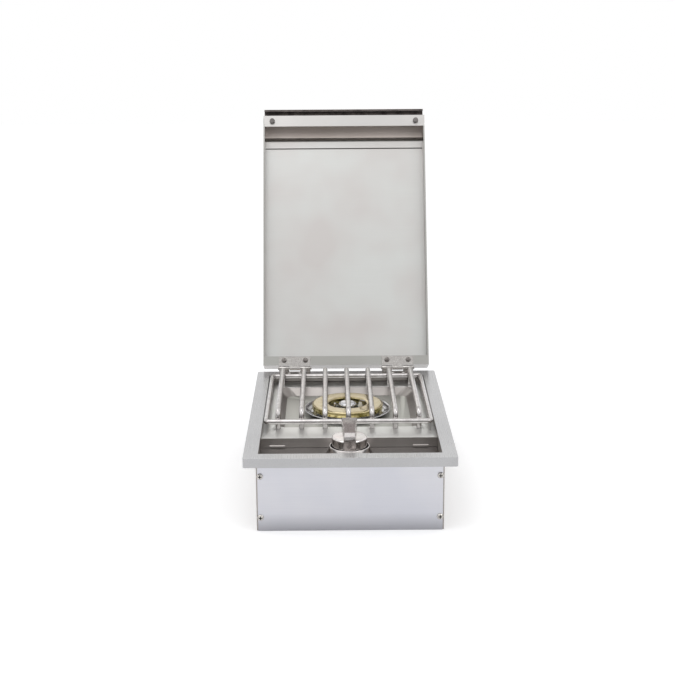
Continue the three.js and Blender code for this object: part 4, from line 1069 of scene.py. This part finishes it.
# The turned head is cut back to the six flats, wherever it stands out over them.
for vertex in shape.verts:
    across = vertex.co.xy
    if vertex.co.z < (HEX_LENGTH + 0.1) * MM and across.length > THREAD * MM:
        off_flat = (math.degrees(math.atan2(across.y, across.x)) + 30) % 60 - 30
        reach = hex_corner * MM * math.cos(math.pi / 6) / math.cos(math.radians(off_flat))
        if reach < across.length:
            vertex.co.xy = across * (reach / across.length)
place = Matrix.Translation(spot("gas_inlet_fitting", "Y", 0))
place = place @ Matrix.Rotation(-math.pi / 2, 4, "X")
bmesh.ops.transform(shape, matrix=place, verts=shape.verts)
new_piece(
    "threaded_fitting", shape, fitting_brass, ["gas_inlet_fitting"], corner=25,
)
print("fitting:", made["threaded_fitting"], "faces")

# %% [markdown]
# ## Floor, background and light
# The photograph is a cut-out on white, with a faint shadow under the box. The floor is
# a pale sheet that keeps the shadow. The world is white to the camera and a little
# softer as light. A mirror ray sees it darker low down, as metal does in a real room.
# Three soft lamps above give the folds and the turned edges their highlights.

# %% Floor, light and background
FAR = 6  # metres from the middle of the floor to its sides
corners = [(-FAR, -FAR, 0), (FAR, -FAR, 0), (FAR, FAR, 0), (-FAR, FAR, 0)]
floor = new_object("floor", bpy.data.meshes.new("floor"))
floor.data.from_pydata(corners, [], [(0, 1, 2, 3)])
floor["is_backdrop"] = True

paper, tree, sheet, place = new_finish("white_paper_floor", metallic=0, roughness=0.9)
fibre = stretched(tree, place, [3] * 3, detail=3)
tint = blended(tree, ranged(tree, fibre, 0, 1), "#F7F7F8", "#F3F3F4")
tree.links.new(tint, sheet.inputs["Base Color"])
# The camera sees the paper lifted to white, with the shadow kept.
LIFT, SOFT_LIGHT = 0.25, 0.85
seen = add(tree, "ShaderNodeLightPath").outputs["Is Camera Ray"]
lift = result(tree, "ShaderNodeEmission", {
    "Strength": result(tree, "ShaderNodeMath", {0: seen, 1: LIFT}, operation="MULTIPLY"),
})
both = result(tree, "ShaderNodeAddShader", {0: sheet.outputs[0], 1: lift})
tree.links.new(both, tree.nodes["Material Output"].inputs["Surface"])
floor.data.materials.append(paper)

world = bpy.data.worlds.new("studio")
bpy.context.scene.world = world
world.use_nodes = True
tree = world.node_tree
path = add(tree, "ShaderNodeLightPath")
clear = result(tree, "ShaderNodeMath", {
    0: path.outputs["Is Camera Ray"], 1: path.outputs["Is Transmission Ray"],
}, operation="MAXIMUM")
# A mirror ray sees the room darken low down in front, where the camera stands, and a
# dark flag low down on each side, which draws the dark lines along the metal's edges.
facing = add(tree, "ShaderNodeTexCoord").outputs["Generated"]
either_side = result(tree, "ShaderNodeVectorMath", {0: facing}, operation="ABSOLUTE")
upward, sideways = (
    add(tree, "ShaderNodeVectorMath", {0: way, 1: axis}, operation="DOT_PRODUCT").outputs["Value"]
    for way, axis in ((facing, (0, 0.8, 1.5)), (either_side, (1, 0, -1)))
)
room = ranged(tree, upward, 0.25, 1.0, -0.8, 0.15)
flags = ranged(tree, sideways, 1.0, 0.2, 0.7, 0.84)
mirrored = result(tree, "ShaderNodeMix", {
    0: path.outputs["Is Glossy Ray"], 2: SOFT_LIGHT,
    3: result(tree, "ShaderNodeMath", {0: room, 1: flags}, operation="MULTIPLY"),
})
strength = result(tree, "ShaderNodeMix", {0: clear, 2: mirrored, 3: 1.0})
background = tree.nodes["Background"]
background.inputs["Color"].default_value = (1, 1, 1, 1)
tree.links.new(strength, background.inputs["Strength"])


# Each lamp's place and the height that it aims at, in metres, its size and its watts.
for name, place, aim, width, depth, power in (
    ("overhead_softbox", (-0.4, -0.3, 2.2), 0.1, 1.6, 1.2, 7),
    ("right_softbox", (1.8, -1.2, 1.9), 0.2, 1.2, 1.2, 6),
    ("left_softbox", (-1.7, -0.9, 1.9), 0.2, 1.0, 1.2, 3),
):
    lamp = bpy.data.lights.new(name, "AREA")
    lamp.shape, lamp.size, lamp.size_y, lamp.energy = "RECTANGLE", width, depth, power
    lamp_object = new_object(name, lamp)
    lamp_object.location = place
    ray = Vector((0, 0, aim)) - Vector(place)
    lamp_object.rotation_euler = ray.to_track_quat("-Z", "Y").to_euler()
bpy.context.scene.view_settings.view_transform = "Standard"
print("light: world", SOFT_LIGHT, "and three soft lamps")

# %% [markdown]
# ## Boxes and pieces
# The frame's box and the dressed model's box are both printed, with the number of
# pieces and their faces. Then the scene is ready to render.

# %% Boxes and pieces
shown_box = [list(corner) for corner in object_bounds()]
for word, low, high in (("CAD", *cad_box), ("visual", *shown_box)):
    print(word, [round((b - a) / MM, 1) for a, b in zip(low, high)], "mm")
print("pieces:", len(made), "with", sum(made.values()), "faces")
